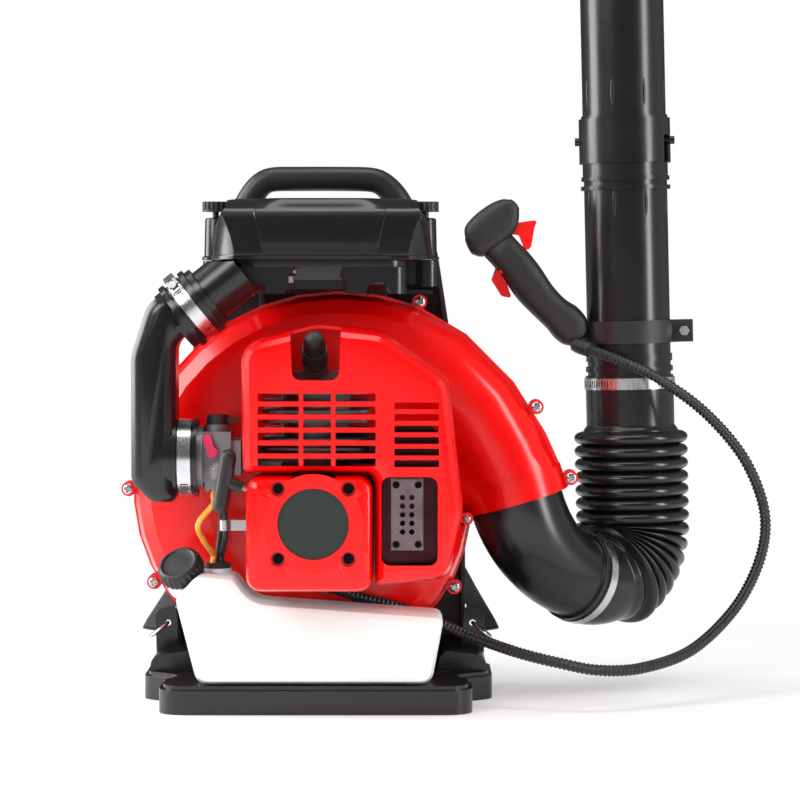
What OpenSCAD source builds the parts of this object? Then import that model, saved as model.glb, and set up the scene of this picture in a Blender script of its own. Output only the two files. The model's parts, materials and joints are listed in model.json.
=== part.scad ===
// Backpack leaf blower: a small two-stroke engine drives a centrifugal fan, and a
// swivelling elbow, a ribbed hose and three pipes lead the air to a tapered nozzle.
// Millimetres. +Z is up, +X is the blowing side, -Y faces the engine, +Y the wearer.
// The origin is on the ground under the middle of the stand.

/* [Stand] */
// Width of the stand across the wearer's side
stand_w = 332; // [300:2:380]
// Width of the stand's front bar
stand_front_w = 290; // [260:2:320]
// Front edge of the stand, in front of the crank axis's plane
stand_front = 115; // [105:1:130]
// Rear edge of the stand, behind the crank axis's plane
stand_rear = 112; // [108:1:130]
// Thickness of the stand's bars
stand_h = 26; // [20:1:32]

/* [Back frame] */
// Height of the top of the carrying handle above the ground
frame_h = 508; // [490:1:540]
// Width of the back frame at the bottom
frame_w = 284; // [260:2:310]
// Width of the back frame at its shoulders
frame_top_w = 220; // [200:2:250]
// Front face of the back frame, behind the crank axis's plane
frame_y = 95; // [92:1:105]
// Depth of the back frame's ribs
frame_depth = 26; // [20:1:32]
// Thickness of the carrying handle's bar
handle_bar = 21.5; // [18:0.5:26]
// Thickness of the wearer's back pad
pad_t = 22; // [14:1:30]
// Width of the shoulder straps
strap_w = 56; // [44:1:66]
// Width of the webbing at the straps' lower ends
webbing_w = 19; // [14:1:20]
// Thickness of the shoulder straps' padding
strap_t = 13; // [9:0.5:18]
// Wire diameter of the strap hooks
hook_wire = 3.6; // [3:0.1:4.5]

/* [Fan] */
// Height of the crank and fan axis above the ground
crank_z = 180; // [172:1:190]
// Radius of the fan case where the scroll begins
scroll_start_r = 143; // [136:1:150]
// Growth of the scroll's radius from the bottom round to the outlet
scroll_growth = 90; // [80:1:96]
// Half of the fan case's depth
scroll_half = 50; // [44:0.5:54]
// Wall of the fan case
case_wall = 3; // [2.4:0.1:4]
// Middle plane of the fan case, where its halves meet
case_mid_y = 30; // [26:1:34]
// Diameter of the fan
fan_d = 248; // [220:2:260]
// Depth of the fan's blades
fan_depth = 46; // [34:1:54]
// Number of fan blades
fan_blades = 14; // [9:1:18]
// Diameter of the air inlet in the rear half
inlet_d = 150; // [130:2:164]

/* [Engine] */
// Bore of the cylinder
bore_d = 48; // [40:0.5:54]
// Outer diameter of the cooling fins
fin_d = 98; // [84:1:104]
// Number of cooling fins
fins = 9; // [6:1:11]
// Front face of the starter case, in front of the crank axis's plane
engine_front = 170; // [164:1:176]
// Diameter of the plain disc on the starter case
disc_d = 64; // [56:1:70]

/* [Fuel and air] */
// Wall of the fuel tank
tank_wall = 2.5; // [2:0.1:3.5]
// Depth of the fuel tank from front to back
tank_depth = 70; // [62:1:74]
// Diameter of the fuel cap
fuel_cap_d = 40; // [36:1:44]
// Diameter of the fuel lines
fuel_line_d = 5.4; // [4.5:0.1:6.5]
// Height of the seam between the air cleaner's case and cover
cleaner_z = 417; // [414:1:420]
// Height of the air cleaner's cover
cleaner_cover_h = 58; // [50:1:62]
// Diameter of the air cleaner's knobs
knob_d = 25; // [21:0.5:28]
// Diameter of the intake stub
stub_d = 60; // [54:1:62]

/* [Blowing tubes] */
// Outer diameter of the elbow at the fan outlet
elbow_d = 90; // [84:1:92]
// Radius of the elbow's bend along its middle
elbow_r = 102; // [98:1:108]
// Outer diameter of the blowing pipes
pipe_d = 82; // [76:1:84]
// Wall of the pipes and the elbow
pipe_wall = 2.4; // [1.8:0.1:3]
// Outer diameter of the hose's ribs
hose_d = 112; // [104:1:116]
// Radius of the hose's bend along its middle
hose_r = 54; // [52:1:60]
// Number of ribs on the hose
hose_ribs = 14; // [11:1:16]
// Height of the hose's upper end above the ground
hose_top_z = 305; // [299:1:311]
// Length of the swivel pipe above the hose
swivel_pipe_l = 209; // [187:1:219]
// Length of the straight pipe
straight_pipe_l = 400; // [300:5:500]
// Length of the nozzle
nozzle_l = 330; // [250:5:400]
// Diameter of the nozzle's mouth
nozzle_mouth_d = 66; // [56:1:72]

/* [Control handle] */
// Height of the handle's clamp ring above the hose's upper end
clamp_up = 32; // [27:1:67]
// Height of the clamp ring's band
clamp_h = 22; // [18:1:28]
// Thickness of the grip from side to side
grip_t = 34; // [28:1:38]
// Diameter of the throttle cable's ribbed cover
cable_d = 11; // [9:0.5:12]

/* [Fits] */
// Clearance between soft or curved neighbours
soft_gap = 0.3; // [0.3:0.05:0.5]
// Radial clearance of running fits
run_gap = 0.05; // [0.03:0.01:0.1]
/* [Hidden] */
$fn = 48;

// Colours of the materials
black = "#1b1b1d";
rubber = "#242426";
red = "#e0140f";
steel = "#b9bcc0";
iron = "#77797c";
cloth = "#2c2d31";
milky = "#eef0ee";
amber = "#d98a1c";

// Straight line from one value to another
function mix(a, b, t) = a + (b - a) * t;
function limit(t, low, high) = min(max(t, low), high);
function ease(t) = let (c = limit(t, 0, 1)) c * c * (3 - 2 * c);
function unit(v) = v / norm(v);
function flat2(p) = [p[0], p[1]];
function turned(list) = [for (i = [len(list) - 1:-1:0]) list[i]];

// One rounded corner of an outline that runs anticlockwise: b is [x, y, radius]
function corner(a, b, c, inset, steps) =
  let (
    u = unit(flat2(a) - flat2(b)),
    v = unit(flat2(c) - flat2(b)),
    side = u.y * v.x - u.x * v.y > 0 ? 1 : -1,
    half = acos(u * v) / 2,
    middle = unit(u + v),
    tip = flat2(b) + middle * side * inset / sin(half),
    r = max(b[2] - side * inset, 0.4),
    hub = tip + middle * r / sin(half),
    from = tip + u * r / tan(half) - hub,
    to = tip + v * r / tan(half) - hub,
    start = atan2(from.y, from.x),
    sweep = (atan2(to.y, to.x) - start + 540) % 360 - 180
  )
  [for (k = [0:steps]) hub + r * [cos(start + sweep * k / steps), sin(start + sweep * k / steps)]];

// Outline with rounded corners, moved inwards by inset
function outline(corners, inset = 0, steps = 4) =
  let (n = len(corners))
  [for (i = [0:n - 1]) each corner(corners[(i + n - 1) % n], corners[i], corners[(i + 1) % n], inset, steps)];

// Corners of a box outline from its lower left to its upper right, all with one radius
function box_corners(x0, z0, x1, z1, r) = [[x0, z0, r], [x1, z0, r], [x1, z1, r], [x0, z1, r]];

// Circle of points round a centre, in the plane of u and v
function ring(centre, u, v, r, n) =
  [for (i = [0:n - 1]) centre + r * (cos(360 * i / n) * u + sin(360 * i / n) * v)];

// Points of an outline in the plane across Y, at one depth
function across_y(points, y) = [for (p = points) [p.x, y, p.y]];

// Solid skin through rings of equally many points, closed by a flat face at each end. A convex
// end needs no eye; any other end is closed by a fan from its eye, which sees the whole outline.
module loft(rings, inside_out = false, eye = undef) {
  n = len(rings[0]);
  last = (len(rings) - 1) * n;
  eyes = is_undef(eye) ? [] : [for (r = [rings[0], rings[len(rings) - 1]]) [eye.x, r[0].y, eye.y]];
  sides = [
    for (i = [0:len(rings) - 2], j = [0:n - 1])
    let (a = i * n + j, b = i * n + (j + 1) % n)
    each [[a, a + n, b], [b, a + n, b + n]]
  ];
  ends = is_undef(eye)
    ? [[for (j = [0:n - 1]) j], [for (j = [n - 1:-1:0]) last + j]]
    : [
      for (j = [0:n - 1])
      each [[j, (j + 1) % n, last + n], [last + (j + 1) % n, last + j, last + n + 1]]
    ];
  faces = concat(sides, ends);
  points = concat([for (r = rings) each r], eyes);
  polyhedron(points, inside_out ? [for (f = faces) turned(f)] : faces, convexity = 8);
}

// Curved sheet: each ring runs out along one side of the sheet and back along the other
module sheet(rings) {
  n = len(rings[0]);
  last = (len(rings) - 1) * n;
  sides = [
    for (i = [0:len(rings) - 2], j = [0:n - 1])
    let (a = i * n + j, b = i * n + (j + 1) % n)
    each [[a, b, a + n], [b, b + n, a + n]]
  ];
  ends = [
    for (j = [0:n / 2 - 2])
    let (k = n - 1 - j)
    each [
      [j, k, j + 1], [j + 1, k, k - 1],
      [last + j, last + j + 1, last + k], [last + j + 1, last + k - 1, last + k]
    ]
  ];
  polyhedron([for (r = rings) each r], concat(sides, ends), convexity = 8);
}

// Wall between outer and inner rings, open at both ends
module pipe_wall_loft(outer, inner) {
  rings = concat(outer, turned(inner));
  n = len(rings[0]);
  m = len(rings);
  faces = [
    for (i = [0:m - 1], j = [0:n - 1])
    let (k = (j + 1) % n, up = (i + 1) % m, a = i * n + j, b = i * n + k, c = up * n + j, d = up * n + k)
    each [[a, c, b], [b, c, d]]
  ];
  polyhedron([for (r = rings) each r], faces, convexity = 8);
}

// Tangents along a row of points, and a side direction that follows them without twisting
function tangents(p) =
  [for (i = [0:len(p) - 1]) unit(p[min(i + 1, len(p) - 1)] - p[max(i - 1, 0)])];
function side_of(t) = unit(cross(t, abs(t.z) < 0.9 ? [0, 0, 1] : [1, 0, 0]));
function sides_along(t, i = 0, u = [0, 0, 0], done = []) =
  i == len(t) ? done
  : let (w = i == 0 ? side_of(t[0]) : unit(u - (u * t[i]) * t[i]))
    sides_along(t, i + 1, w, concat(done, [w]));

// Smooth curve through chosen points, in equal steps between them
function curve_point(a, b, c, d, t) =
  0.5 * (2 * b + (c - a) * t + (2 * a - 5 * b + 4 * c - d) * t * t + (3 * b - a - 3 * c + d) * t * t * t);
function curve(p, steps) =
  let (n = len(p))
  concat(
    [
      for (i = [0:n - 2], k = [0:steps - 1])
      curve_point(p[max(i - 1, 0)], p[i], p[i + 1], p[min(i + 2, n - 1)], k / steps)
    ],
    [p[n - 1]]
  );

// Round cord along points
module cord(points, d, n = 8, along = undef) {
  t = is_undef(along) ? tangents(points) : along;
  u = sides_along(t);
  loft([for (i = [0:len(points) - 1]) ring(points[i], u[i], cross(t[i], u[i]), d / 2, n)]);
}

// Places children, which stand on +Z, at a point along a direction
module aim(at, dir) {
  translate(at) rotate([0, acos(dir.z / norm(dir)), atan2(dir.y, dir.x)]) children();
}

// Cylinder from one point to another
module rod(a, b, d) {
  aim(a, b - a) cylinder(h = norm(b - a), d = d);
}

// Ring-shaped wall from one point to another
module tube(a, b, outer_d, inner_d) {
  aim(a, b - a) difference() {
    cylinder(h = norm(b - a), d = outer_d);
    translate([0, 0, -1]) cylinder(h = norm(b - a) + 2, d = inner_d);
  }
}

// Plate or block between two depths, from an outline in X and Z
module along_y(y0, y1) {
  translate([0, y1, 0]) rotate([90, 0, 0]) linear_extrude(y1 - y0) children();
}

// Rod along Y between two depths
module rod_y(x, z, y0, y1, d) {
  translate([x, y1, z]) rotate([90, 0, 0]) cylinder(h = y1 - y0, d = d);
}

// The same on the crank's axis
module crank_rod(y0, y1, d) {
  rod_y(crank.x, crank.y, y0, y1, d);
}

// Rod along X
module rod_x(y, z, x0, x1, d) {
  translate([x0, y, z]) rotate([0, 90, 0]) cylinder(h = x1 - x0, d = d);
}

// Worm-drive hose clamp: a band with a screw housing beside it
module worm_clamp(at, dir, band_d, band_w, housing_turn) {
  aim(at, dir) {
    difference() {
      cylinder(h = band_w, d = band_d + 2);
      translate([0, 0, -1]) cylinder(h = band_w + 2, d = band_d);
    }
    rotate([0, 0, housing_turn]) translate([band_d / 2 + 0.6, -8, 1]) {
      cube([6, 16, band_w - 2]);
      translate([3, 20, band_w / 2 - 1]) rotate([90, 0, 0]) cylinder(h = 4.5, d = 7);
    }
  }
}

// Fan case: a scroll in polar form round the crank axis. Angles run clockwise from the bottom.
scroll_from = -84;
scroll_to = 268;
scroll_steps = 34;
outlet_lean = 16;
outlet_duct_r = elbow_d / 2 + case_wall + 1;
tongue_half = 10;
outlet_offset = scroll_start_r + outlet_duct_r - 2;
rim_round = 34;
strip_in = 100;
case_front_y = case_mid_y - scroll_half;
case_rear_y = case_mid_y + scroll_half;
plate_back = 0.5;
crank = [0, crank_z];
function around(a) = [-sin(a), -cos(a)];
function scroll_r(a) = scroll_start_r + scroll_growth * max(a, 0) / (scroll_to - 5);

outlet_xz = crank + outlet_offset * around(scroll_to);
outlet = [outlet_xz.x, case_mid_y, outlet_xz.y];
outlet_dir = [sin(outlet_lean), 0, -cos(outlet_lean)];

// Stand and back frame
mount_spots = [[-85, 105], [85, 105], [-85, 300], [85, 300]];
mount_d = 30;
ear_x = 149;
ear_z = 64;
ear_y = 80;
ear_t = 6;
ear_hole_d = 6.4;
hook_loop_r = 11;
handle_mid_x = 5;
strap_x = 58;
strap_top_z = 432;
pad_y = frame_y + frame_depth;

// Engine
engine_y = -66;
crankcase_d = 84;
crankcase_front = -98;
shaft_d = 15;
flywheel_y = -114;
flywheel_d = 84;
cover_front = engine_front - 5;
cover_back = 62;
cylinder_base_z = crank_z + crankcase_d / 2;
head_z = cylinder_base_z + 92;
fin_pitch = 8.6;
starter_x0 = -62;
starter_x1 = 54;
starter_z0 = crank_z - 63;
starter_z1 = crank_z + 43;
starter_back = 118;
pulley_d = 58;
screw_out = 31.7;
exhaust_z = crank_z + 65;
muffler_x = 58;
pillars = [[-54, 32], [47, 32], [-54, -50], [46, -50]];
cover_legs = [[-50, 326], [94, 312]];
plug_dir = unit([0, -0.77, 0.64]);
plug_root = [0, engine_y, head_z - 20];
plug_seat = plug_root + 32 * plug_dir;
// Recoil starter: the rope leaves the case at its upper left, and the pulley turns on a post
rope_eye = [starter_x0 + 0.5, -engine_front + 21, crank_z + 30];
pull_dir = unit([-0.94, 0, 0.34]);
pulley_y = -engine_front + 15;
post_d = 14;
rope_show = 3.5;
rope_in = 43.6;

// Fuel and air
tank_front = stand_front - 5;
tank_back = tank_front - tank_depth;
tank_z = stand_h + 1;
cap_at = [-122, -tank_front + 26, 127];
cap_dir = unit([-0.3, -0.62, 0.72]);
carb_y = -92;
carb_z = crank_z + 56;
duct_y = -92;
upper_cuff_at = [-112, duct_y, 374];
upper_cuff_dir = unit([0.78, 0, 0.62]);
lower_cuff_d = 68;
knob_spots = [[-95, -30], [102, -30]];
cleaner_top_z = cleaner_z + cleaner_cover_h;
knob_z = cleaner_z + 46;
stud_d = 6;

// Blowing tubes: the elbow dips by this angle and heads this far behind +X at its end
elbow_dip = 18;
elbow_heading = 42;
pipe_lean = 1.36;
cuff_fit = 0.4;
hose_cuff_d = pipe_d + 2 * cuff_fit + 4;
heading = [cos(elbow_heading), sin(elbow_heading), 0];
elbow_end_dir = cos(elbow_dip) * heading - [0, 0, sin(elbow_dip)];
elbow_side = unit(elbow_end_dir - (elbow_end_dir * outlet_dir) * outlet_dir);
elbow_turn = acos(elbow_end_dir * outlet_dir);
elbow_hub = outlet + elbow_r * elbow_side;
function elbow_point(a) = elbow_hub - elbow_r * (cos(a) * elbow_side - sin(a) * outlet_dir);
elbow_end = elbow_point(elbow_turn);
pipe_dir = [-sin(pipe_lean), 0, cos(pipe_lean)];
hose_side = unit(pipe_dir - (pipe_dir * elbow_end_dir) * elbow_end_dir);
hose_turn = acos(pipe_dir * elbow_end_dir);
hose_lead = 12;
hose_from = elbow_end + hose_lead * elbow_end_dir;
hose_hub = hose_from + hose_r * hose_side;
function hose_point(a) = hose_hub - hose_r * (cos(a) * hose_side - sin(a) * elbow_end_dir);
hose_bend_end = hose_point(hose_turn);
hose_top = hose_bend_end + pipe_dir * (hose_top_z - hose_bend_end.z) / pipe_dir.z;
function on_pipe(up) = hose_top + pipe_dir * up;
joint_up = swivel_pipe_l;
nozzle_up = joint_up + straight_pipe_l;
sleeve_l = 44;

// Control handle, drawn in X and Z and carried by the clamp ring on the swivel pipe
grip_y = hose_top.y - 12;
trigger_pivot = [185, 449];
lock_pivot = [177, 407];
handle_pin = [250, 350];

// Throttle cable: chosen points, from behind the tank round the right side to the handle
cable_route = [
  [12, -31, 110], [40, -31, 100], [80, -31, 90], [114, -31, 76], [146, -42, 64], [186, -72, 53],
  [224, -88, 45], [262, -88, 38], [304, -70, 38], [352, -34, 50], [394, 10, 80], [420, 38, 116],
  [432, 54, 154], [428, 60, 190], [408, 62, 232], [370, 60, 274], [324, 62, 306], [288, 70, 322],
  [263, 89, 331]
];
cable_splits = [0, 9, 15, 18];
cable_steps = 3;
cable_line = curve(cable_route, cable_steps);
cable_in = unit(cable_line[1] - cable_line[0]);
cable_boot = cable_line[len(cable_line) - 1];
boot_dir = unit(cable_boot - cable_line[len(cable_line) - 2]);

// Fuel lines: chosen points from the tank's grommet up to the carburettor
grommet_at = [-92, -64, 131];
line_spots = [[-96, -66.3], [-88, -66.3], [-92, -59.4]];
carb_bottom = carb_z - 29;
function line_route(i, middle, end) = concat(
  [for (z = [122, 137, 144]) [line_spots[i].x, line_spots[i].y, z]],
  middle,
  [for (z = [14, 7, 0]) [end.x, end.y, carb_bottom - z]]
);
fuel_route = line_route(0, [[-104, -80, 158], [-108, -94, 174]], [-94, -98]);
breather_routes = [
  line_route(1, [[-84, -78, 160], [-84, -80, 172], [-84, -82, 182]], [-90, -89]),
  line_route(2, [[-90, -57, 160], [-88, -60, 178]], [-89, -77])
];
clip_at = breather_routes[0][4];
clip_leg_x = -58;
flange_y = case_front_y + plate_back - 7;
lever_at = [-90, carb_y + 4, carb_z + 30];
choke_at = [-94, carb_y - 20, carb_z + 6];
bulb_at = [-90, carb_y - 20, carb_z - 12];
stub_end = upper_cuff_at - 2 * upper_cuff_dir;
bayonet_turn = 30;
bayonet_out = [cos(pipe_lean), 0, sin(pipe_lean)];
lever_t = 12;

// ---------- Stand and back frame ----------

stand_corners = [
  [-stand_front_w / 2, -stand_front, 25], [stand_front_w / 2, -stand_front, 25],
  [stand_front_w / 2, -52, 14], [stand_front_w / 2 - 14, -30, 14],
  [stand_w / 2, 0, 22], [stand_w / 2, stand_rear, 24],
  [-stand_w / 2, stand_rear, 24], [-stand_w / 2, 0, 22],
  [-stand_front_w / 2 + 14, -30, 14], [-stand_front_w / 2, -52, 14]
];

module stand_base() {
  color(black) difference() {
    union() {
      linear_extrude(stand_h - 4) polygon(outline(stand_corners));
      linear_extrude(stand_h) polygon(outline(stand_corners, 4));
      // Bolsters at the sides carry the back frame and the strap ears
      for (side = [-1, 1]) {
        along_y(6, frame_y) {
          polygon([for (p = outline([
            [112, stand_h - 4, 1], [stand_w / 2 - 5, stand_h - 4, 1],
            [stand_w / 2 - 6, 40, 10], [118, 46, 10]
          ])) [side * p.x, p.y]]);
        }
        along_y(ear_y - ear_t / 2, ear_y + ear_t / 2) {
          polygon([for (p = outline([
            [138, 30, 2], [160, 30, 2], [161, 76, 8], [141, 82, 5]
          ])) [side * p.x, p.y]]);
        }
      }
    }
    // Hand-sized windows lighten the deck between its ribs
    for (side = [-1, 1]) {
      translate([0, 0, -1]) linear_extrude(stand_h + 2) {
        polygon([for (p = outline(box_corners(10, -8, 100, 84, 12))) [side * p.x, p.y]]);
      }
      rod_y(side * ear_x, ear_z, ear_y - ear_t, ear_y + ear_t, ear_hole_d);
    }
  }
}

frame_corners = [
  [-frame_w / 2, stand_h, 10], [frame_w / 2, stand_h, 10], [frame_w / 2, 250, 40],
  [frame_top_w / 2 + handle_mid_x, 425, 60], [handle_mid_x + 85, frame_h, 34],
  [handle_mid_x - 85, frame_h, 34], [handle_mid_x - frame_top_w / 2, 425, 60], [-frame_w / 2, 250, 40]
];
frame_wall = 4.5;

module back_frame() {
  grip_low = 452;
  grip_half = 81 - handle_bar;
  grip_corners = box_corners(
    handle_mid_x - grip_half, grip_low, handle_mid_x + grip_half, frame_h - handle_bar, 14);
  color(black) difference() {
    union() {
      difference() {
        along_y(frame_y, pad_y) polygon(outline(frame_corners));
        along_y(frame_y - 1, pad_y - frame_wall) difference() {
          polygon(outline(frame_corners, frame_wall));
          // The handle is a closed loop, so its bar and the shelf under it stay solid
          translate([-200, grip_low - 52]) square([400, 130]);
        }
      }
      // Ribs across and along the panel
      for (z = [90, 190, 290, 385]) {
        translate([-frame_top_w / 2, frame_y + 3, z]) cube([frame_top_w, frame_depth - 4, frame_wall]);
      }
      for (x = [-60, 60]) {
        translate([x, frame_y + 3, stand_h + 2]) cube([frame_wall, frame_depth - 4, 395]);
      }
      for (p = mount_spots) {
        rod_y(p.x, p.y, frame_y, pad_y - 1, mount_d + 4);
      }
    }
    along_y(frame_y - 1, pad_y + 1) polygon(outline(grip_corners));
    // Slots where the straps pass
    for (x = [-strap_x, strap_x]) {
      translate([x - 20, frame_y - 1, strap_top_z - 28]) cube([40, frame_depth + 2, 7]);
    }
  }
}

pad_corners = [
  [-98, 74, 26], [98, 74, 26], [112, 236, 60], [84, 396, 30], [-84, 396, 30], [-112, 236, 60]
];

// Cushion against the wearer's back, crowned and drawn in at its edge, with a channel down the middle
module back_pad() {
  sections = [[0, 4], [0.2, 0], [0.55, 1], [0.8, 7], [0.94, 18], [1, 32]];
  color(cloth) difference() {
    loft([
      for (s = turned(sections))
      across_y(outline(pad_corners, s[1], 5), pad_y + soft_gap + s[0] * pad_t)
    ]);
    translate([-7, pad_y + 0.62 * pad_t, 60]) cube([14, pad_t, 360]);
  }
}

// Padded strap from the top of the frame over the shoulder and down to webbing near the hook
module shoulder_strap(side) {
  route = curve([
    [strap_x, pad_y + soft_gap, strap_top_z], [strap_x + 2, pad_y + 34, strap_top_z + 14],
    [strap_x + 12, pad_y + 84, 396], [84, pad_y + 112, 300], [100, pad_y + 96, 205],
    [120, pad_y + 60, 138], [142, pad_y + 26, 96], [162, 106, 64], [166, ear_y + 15, 56]
  ], 3);
  last = len(route) - 1;
  along = tangents(route);
  color(cloth) mirror([side < 0 ? 1 : 0, 0, 0]) loft([
    for (i = [0:last])
    let (
      padded = ease(limit((0.66 - i / last) / 0.1, 0, 1)),
      half_w = mix(webbing_w, strap_w, padded) / 2,
      half_t = mix(1.5, strap_t / 2, padded),
      across = unit([1, 0, 0] - along[i].x * along[i]),
      up = i == 0 ? [0, 0, -1] : cross(along[i], across),
      wide = i == 0 ? [1, 0, 0] : across
    )
    [for (a = [22.5:45:360])
      route[i] + wide * half_w * sign(cos(a)) * pow(abs(cos(a)), 0.45)
      - up * half_t * sign(sin(a)) * pow(abs(sin(a)), 0.7)]
  ], inside_out = true);
}
module shoulder_strap_left() { shoulder_strap(-1); }
module shoulder_strap_right() { shoulder_strap(1); }

// Wire loop through the ear, where the strap's end hooks in
module strap_hook(side) {
  lean = 38;
  color(steel) translate([side * ear_x, ear_y, ear_z]) {
    rotate([0, side > 0 ? lean : 180 - lean, 0]) translate([hook_loop_r, 0, 0]) {
      rotate_extrude() translate([hook_loop_r, 0]) circle(d = hook_wire, $fn = 24);
    }
  }
}
module strap_hook_left() { strap_hook(-1); }
module strap_hook_right() { strap_hook(1); }

// Rubber mounts that hold the fan case and engine off the back frame
module vibration_mounts() {
  color(rubber) for (p = mount_spots) {
    rod_y(p.x, p.y, case_rear_y, frame_y, mount_d);
  }
}

// ---------- Fan case: a scroll that turns from a flat drum into a round outlet ----------

// How far a station has turned from the drum's section (0) to the outlet's round one (1)
function outlet_share(a) = ease((a - 205) / (scroll_to - 205));

// One side of a section: distance from the axis and depth from the middle plane, from the rim
// round to the flat plate. The wall's inside is the same side moved in by inset.
function drum_side(a, inset) =
  let (r = scroll_r(a), flat_r = r - rim_round, arc_r = rim_round - inset, flat_y = scroll_half - rim_round)
  concat(
    [[r - inset, 0]],
    [for (k = [0:3]) [flat_r + arc_r * cos(30 * k), flat_y + arc_r * sin(30 * k)]],
    [for (k = [1:5]) [mix(flat_r, strip_in, k / 6), scroll_half - inset]],
    [[strip_in, scroll_half - inset]]
  );

// At the outlet the side is half a circle, and a valley parts it from the fan's drum
function outlet_side(inset) =
  let (r = outlet_duct_r)
  concat(
    [for (k = [0:7]) [outlet_offset + (r - inset) * cos(22.5 * k), (r - inset) * sin(22.5 * k)]],
    [
      [outlet_offset - r - 2, tongue_half - inset],
      [outlet_offset - r - 5 - inset, scroll_half - inset],
      [outlet_offset - r - 10, scroll_half - inset]
    ]
  );
function side(a, inset) =
  let (drum = drum_side(a, inset), round = outlet_side(inset), t = outlet_share(a))
  [for (i = [0:len(drum) - 1]) mix(drum[i], round[i], t)];
function section(a) = side(a, 0);

// Where a section stands: its pivot on the axis and its direction turn towards the outlet's plane
outlet_across = [cos(outlet_lean), sin(outlet_lean)];
function station_pivot(a) = mix(crank, outlet_xz - outlet_offset * outlet_across, outlet_share(a));
function station_dir(a) =
  let (angle = mix(270 - a, outlet_lean, outlet_share(a))) [cos(angle), sin(angle)];
function station_point(a, p) =
  let (q = station_pivot(a) + station_dir(a) * p.x) [q.x, p.y, q.y];
scroll_angles = [for (i = [0:scroll_steps]) mix(scroll_from, scroll_to, i / scroll_steps)];

// Wall of one half, open at the middle plane, with depth measured away from that plane
module scroll_wall() {
  sheet([
    for (a = scroll_angles)
    [for (p = concat(section(a), turned(side(a, case_wall)))) station_point(a, p)]
  ]);
}

// Flat line of the scroll at a distance outside its rim
function rim_line(out) =
  [for (a = scroll_angles) station_pivot(a) + station_dir(a) * (section(a)[0].x + out)];
function plate_line() =
  [for (a = scroll_angles) let (s = section(a)) station_pivot(a) + station_dir(a) * (s[len(s) - 1].x + 4)];

case_screw_angles = [-60, -22, 20, 66, 96, 150, 206, 232];
function case_screw_at(a) =
  station_pivot(a) + station_dir(a) * (section(a)[0].x + 7);
tongue_at = [141.6, crank_z - 7.5];
collar_screws = [
  tongue_at,
  outlet_xz + (outlet_duct_r + 7) * outlet_across - 8 * [outlet_dir.x, outlet_dir.z]
];

// What both halves share, with depth measured away from the middle plane
module case_half() {
  scroll_wall();
  // Flat plate inside the rolled rim
  translate([0, scroll_half - plate_back, 0]) rotate([90, 0, 0]) {
    linear_extrude(case_wall - 2 * plate_back) polygon(plate_line());
  }
  // Flange along the seam
  along_y(0, 4) polygon(concat(rim_line(3), turned(rim_line(-case_wall / 2))));
  for (a = case_screw_angles) {
    rod_y(case_screw_at(a).x, case_screw_at(a).y, 0, 11, 14);
  }
  rod_y(tongue_at.x, tongue_at.y, 0, scroll_half - 12, 12);
  rod_y(collar_screws[1].x, collar_screws[1].y, 0, 13, 14);
}

// Screw holes, the seat of the elbow's neck, and room below it for the elbow to swivel
module case_bores() {
  for (p = concat([for (a = case_screw_angles) case_screw_at(a)], collar_screws)) {
    rod_y(p.x, p.y, case_front_y, case_mid_y + 12, 4.6);
  }
  rod_y(tongue_at.x, tongue_at.y, case_front_y, case_front_y + 12, 7.8);
  rod(outlet - 24 * outlet_dir, outlet + outlet_dir, elbow_d + 2 * soft_gap);
  rod(outlet, outlet + 26 * outlet_dir, elbow_d + 6);
}

// Round collar over the elbow's upper end, split at the middle plane
module outlet_collar() {
  tube(outlet - 24 * outlet_dir, outlet, 2 * outlet_duct_r + 3, elbow_d + 2 * soft_gap);
}

// Flats for the engine and its bolts on the front half
module fan_case_front() {
  color(red) difference() {
    union() {
      translate([0, case_mid_y, 0]) mirror([0, 1, 0]) case_half();
      intersection() {
        outlet_collar();
        translate([0, case_mid_y - 100, 100]) cube([400, 100, 200]);
      }
    }
    crank_rod(case_front_y - 5, case_mid_y - 4, 46);
    case_bores();
  }
}

module fan_case_rear() {
  bell_y = case_mid_y + fan_depth / 2 + 3;
  color(red) difference() {
    union() {
      translate([0, case_mid_y, 0]) case_half();
      intersection() {
        outlet_collar();
        translate([0, case_mid_y, 100]) cube([400, 100, 200]);
      }
      // Bell of the air inlet
      crank_rod(bell_y, case_rear_y + 6, inlet_d + 2 * case_wall);
    }
    crank_rod(bell_y - 1, case_rear_y + 8, inlet_d);
    case_bores();
  }
}

// Grille that keeps leaves and fingers out of the inlet
module inlet_guard() {
  y0 = case_rear_y + 6;
  ring_step = 13;
  color(black) difference() {
    union() {
      crank_rod(y0, y0 + 4, inlet_d + 2 * case_wall + 6);
      crank_rod(y0 - 8, y0 + 1, inlet_d - 2 * soft_gap);
    }
    crank_rod(y0 - 9, y0, inlet_d - 6);
    for (k = [1:5]) {
      difference() {
        crank_rod(y0 - 1, y0 + 5, 2 * (k * ring_step + 9.5));
        crank_rod(y0 - 2, y0 + 6, 2 * k * ring_step);
        for (turn = [0:45:135]) {
          translate([0, y0 + 2, crank_z]) rotate([0, turn, 0]) cube([200, 8, 4], center = true);
        }
      }
    }
  }
}

// Screws along the case's seam
module case_screws() {
  head_y = case_mid_y - 11;
  color(steel) for (a = case_screw_angles) {
    p = case_screw_at(a);
    rod_y(p.x, p.y, head_y - 3.5, head_y, 10);
    rod_y(p.x, p.y, head_y - 1, case_mid_y + 9, 4.6 - 2 * run_gap);
  }
  color(steel) {
    tongue_y = case_mid_y - scroll_half + 12;
    rod_y(tongue_at.x, tongue_at.y, tongue_y - 3.5, tongue_y, 7);
    rod_y(tongue_at.x, tongue_at.y, tongue_y - 1, case_mid_y + 9, 4.6 - 2 * run_gap);
    rod_y(collar_screws[1].x, collar_screws[1].y, case_mid_y - 16.5, case_mid_y - 13, 10);
    rod_y(collar_screws[1].x, collar_screws[1].y, case_mid_y - 14, case_mid_y + 9, 4.6 - 2 * run_gap);
  }
}

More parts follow.
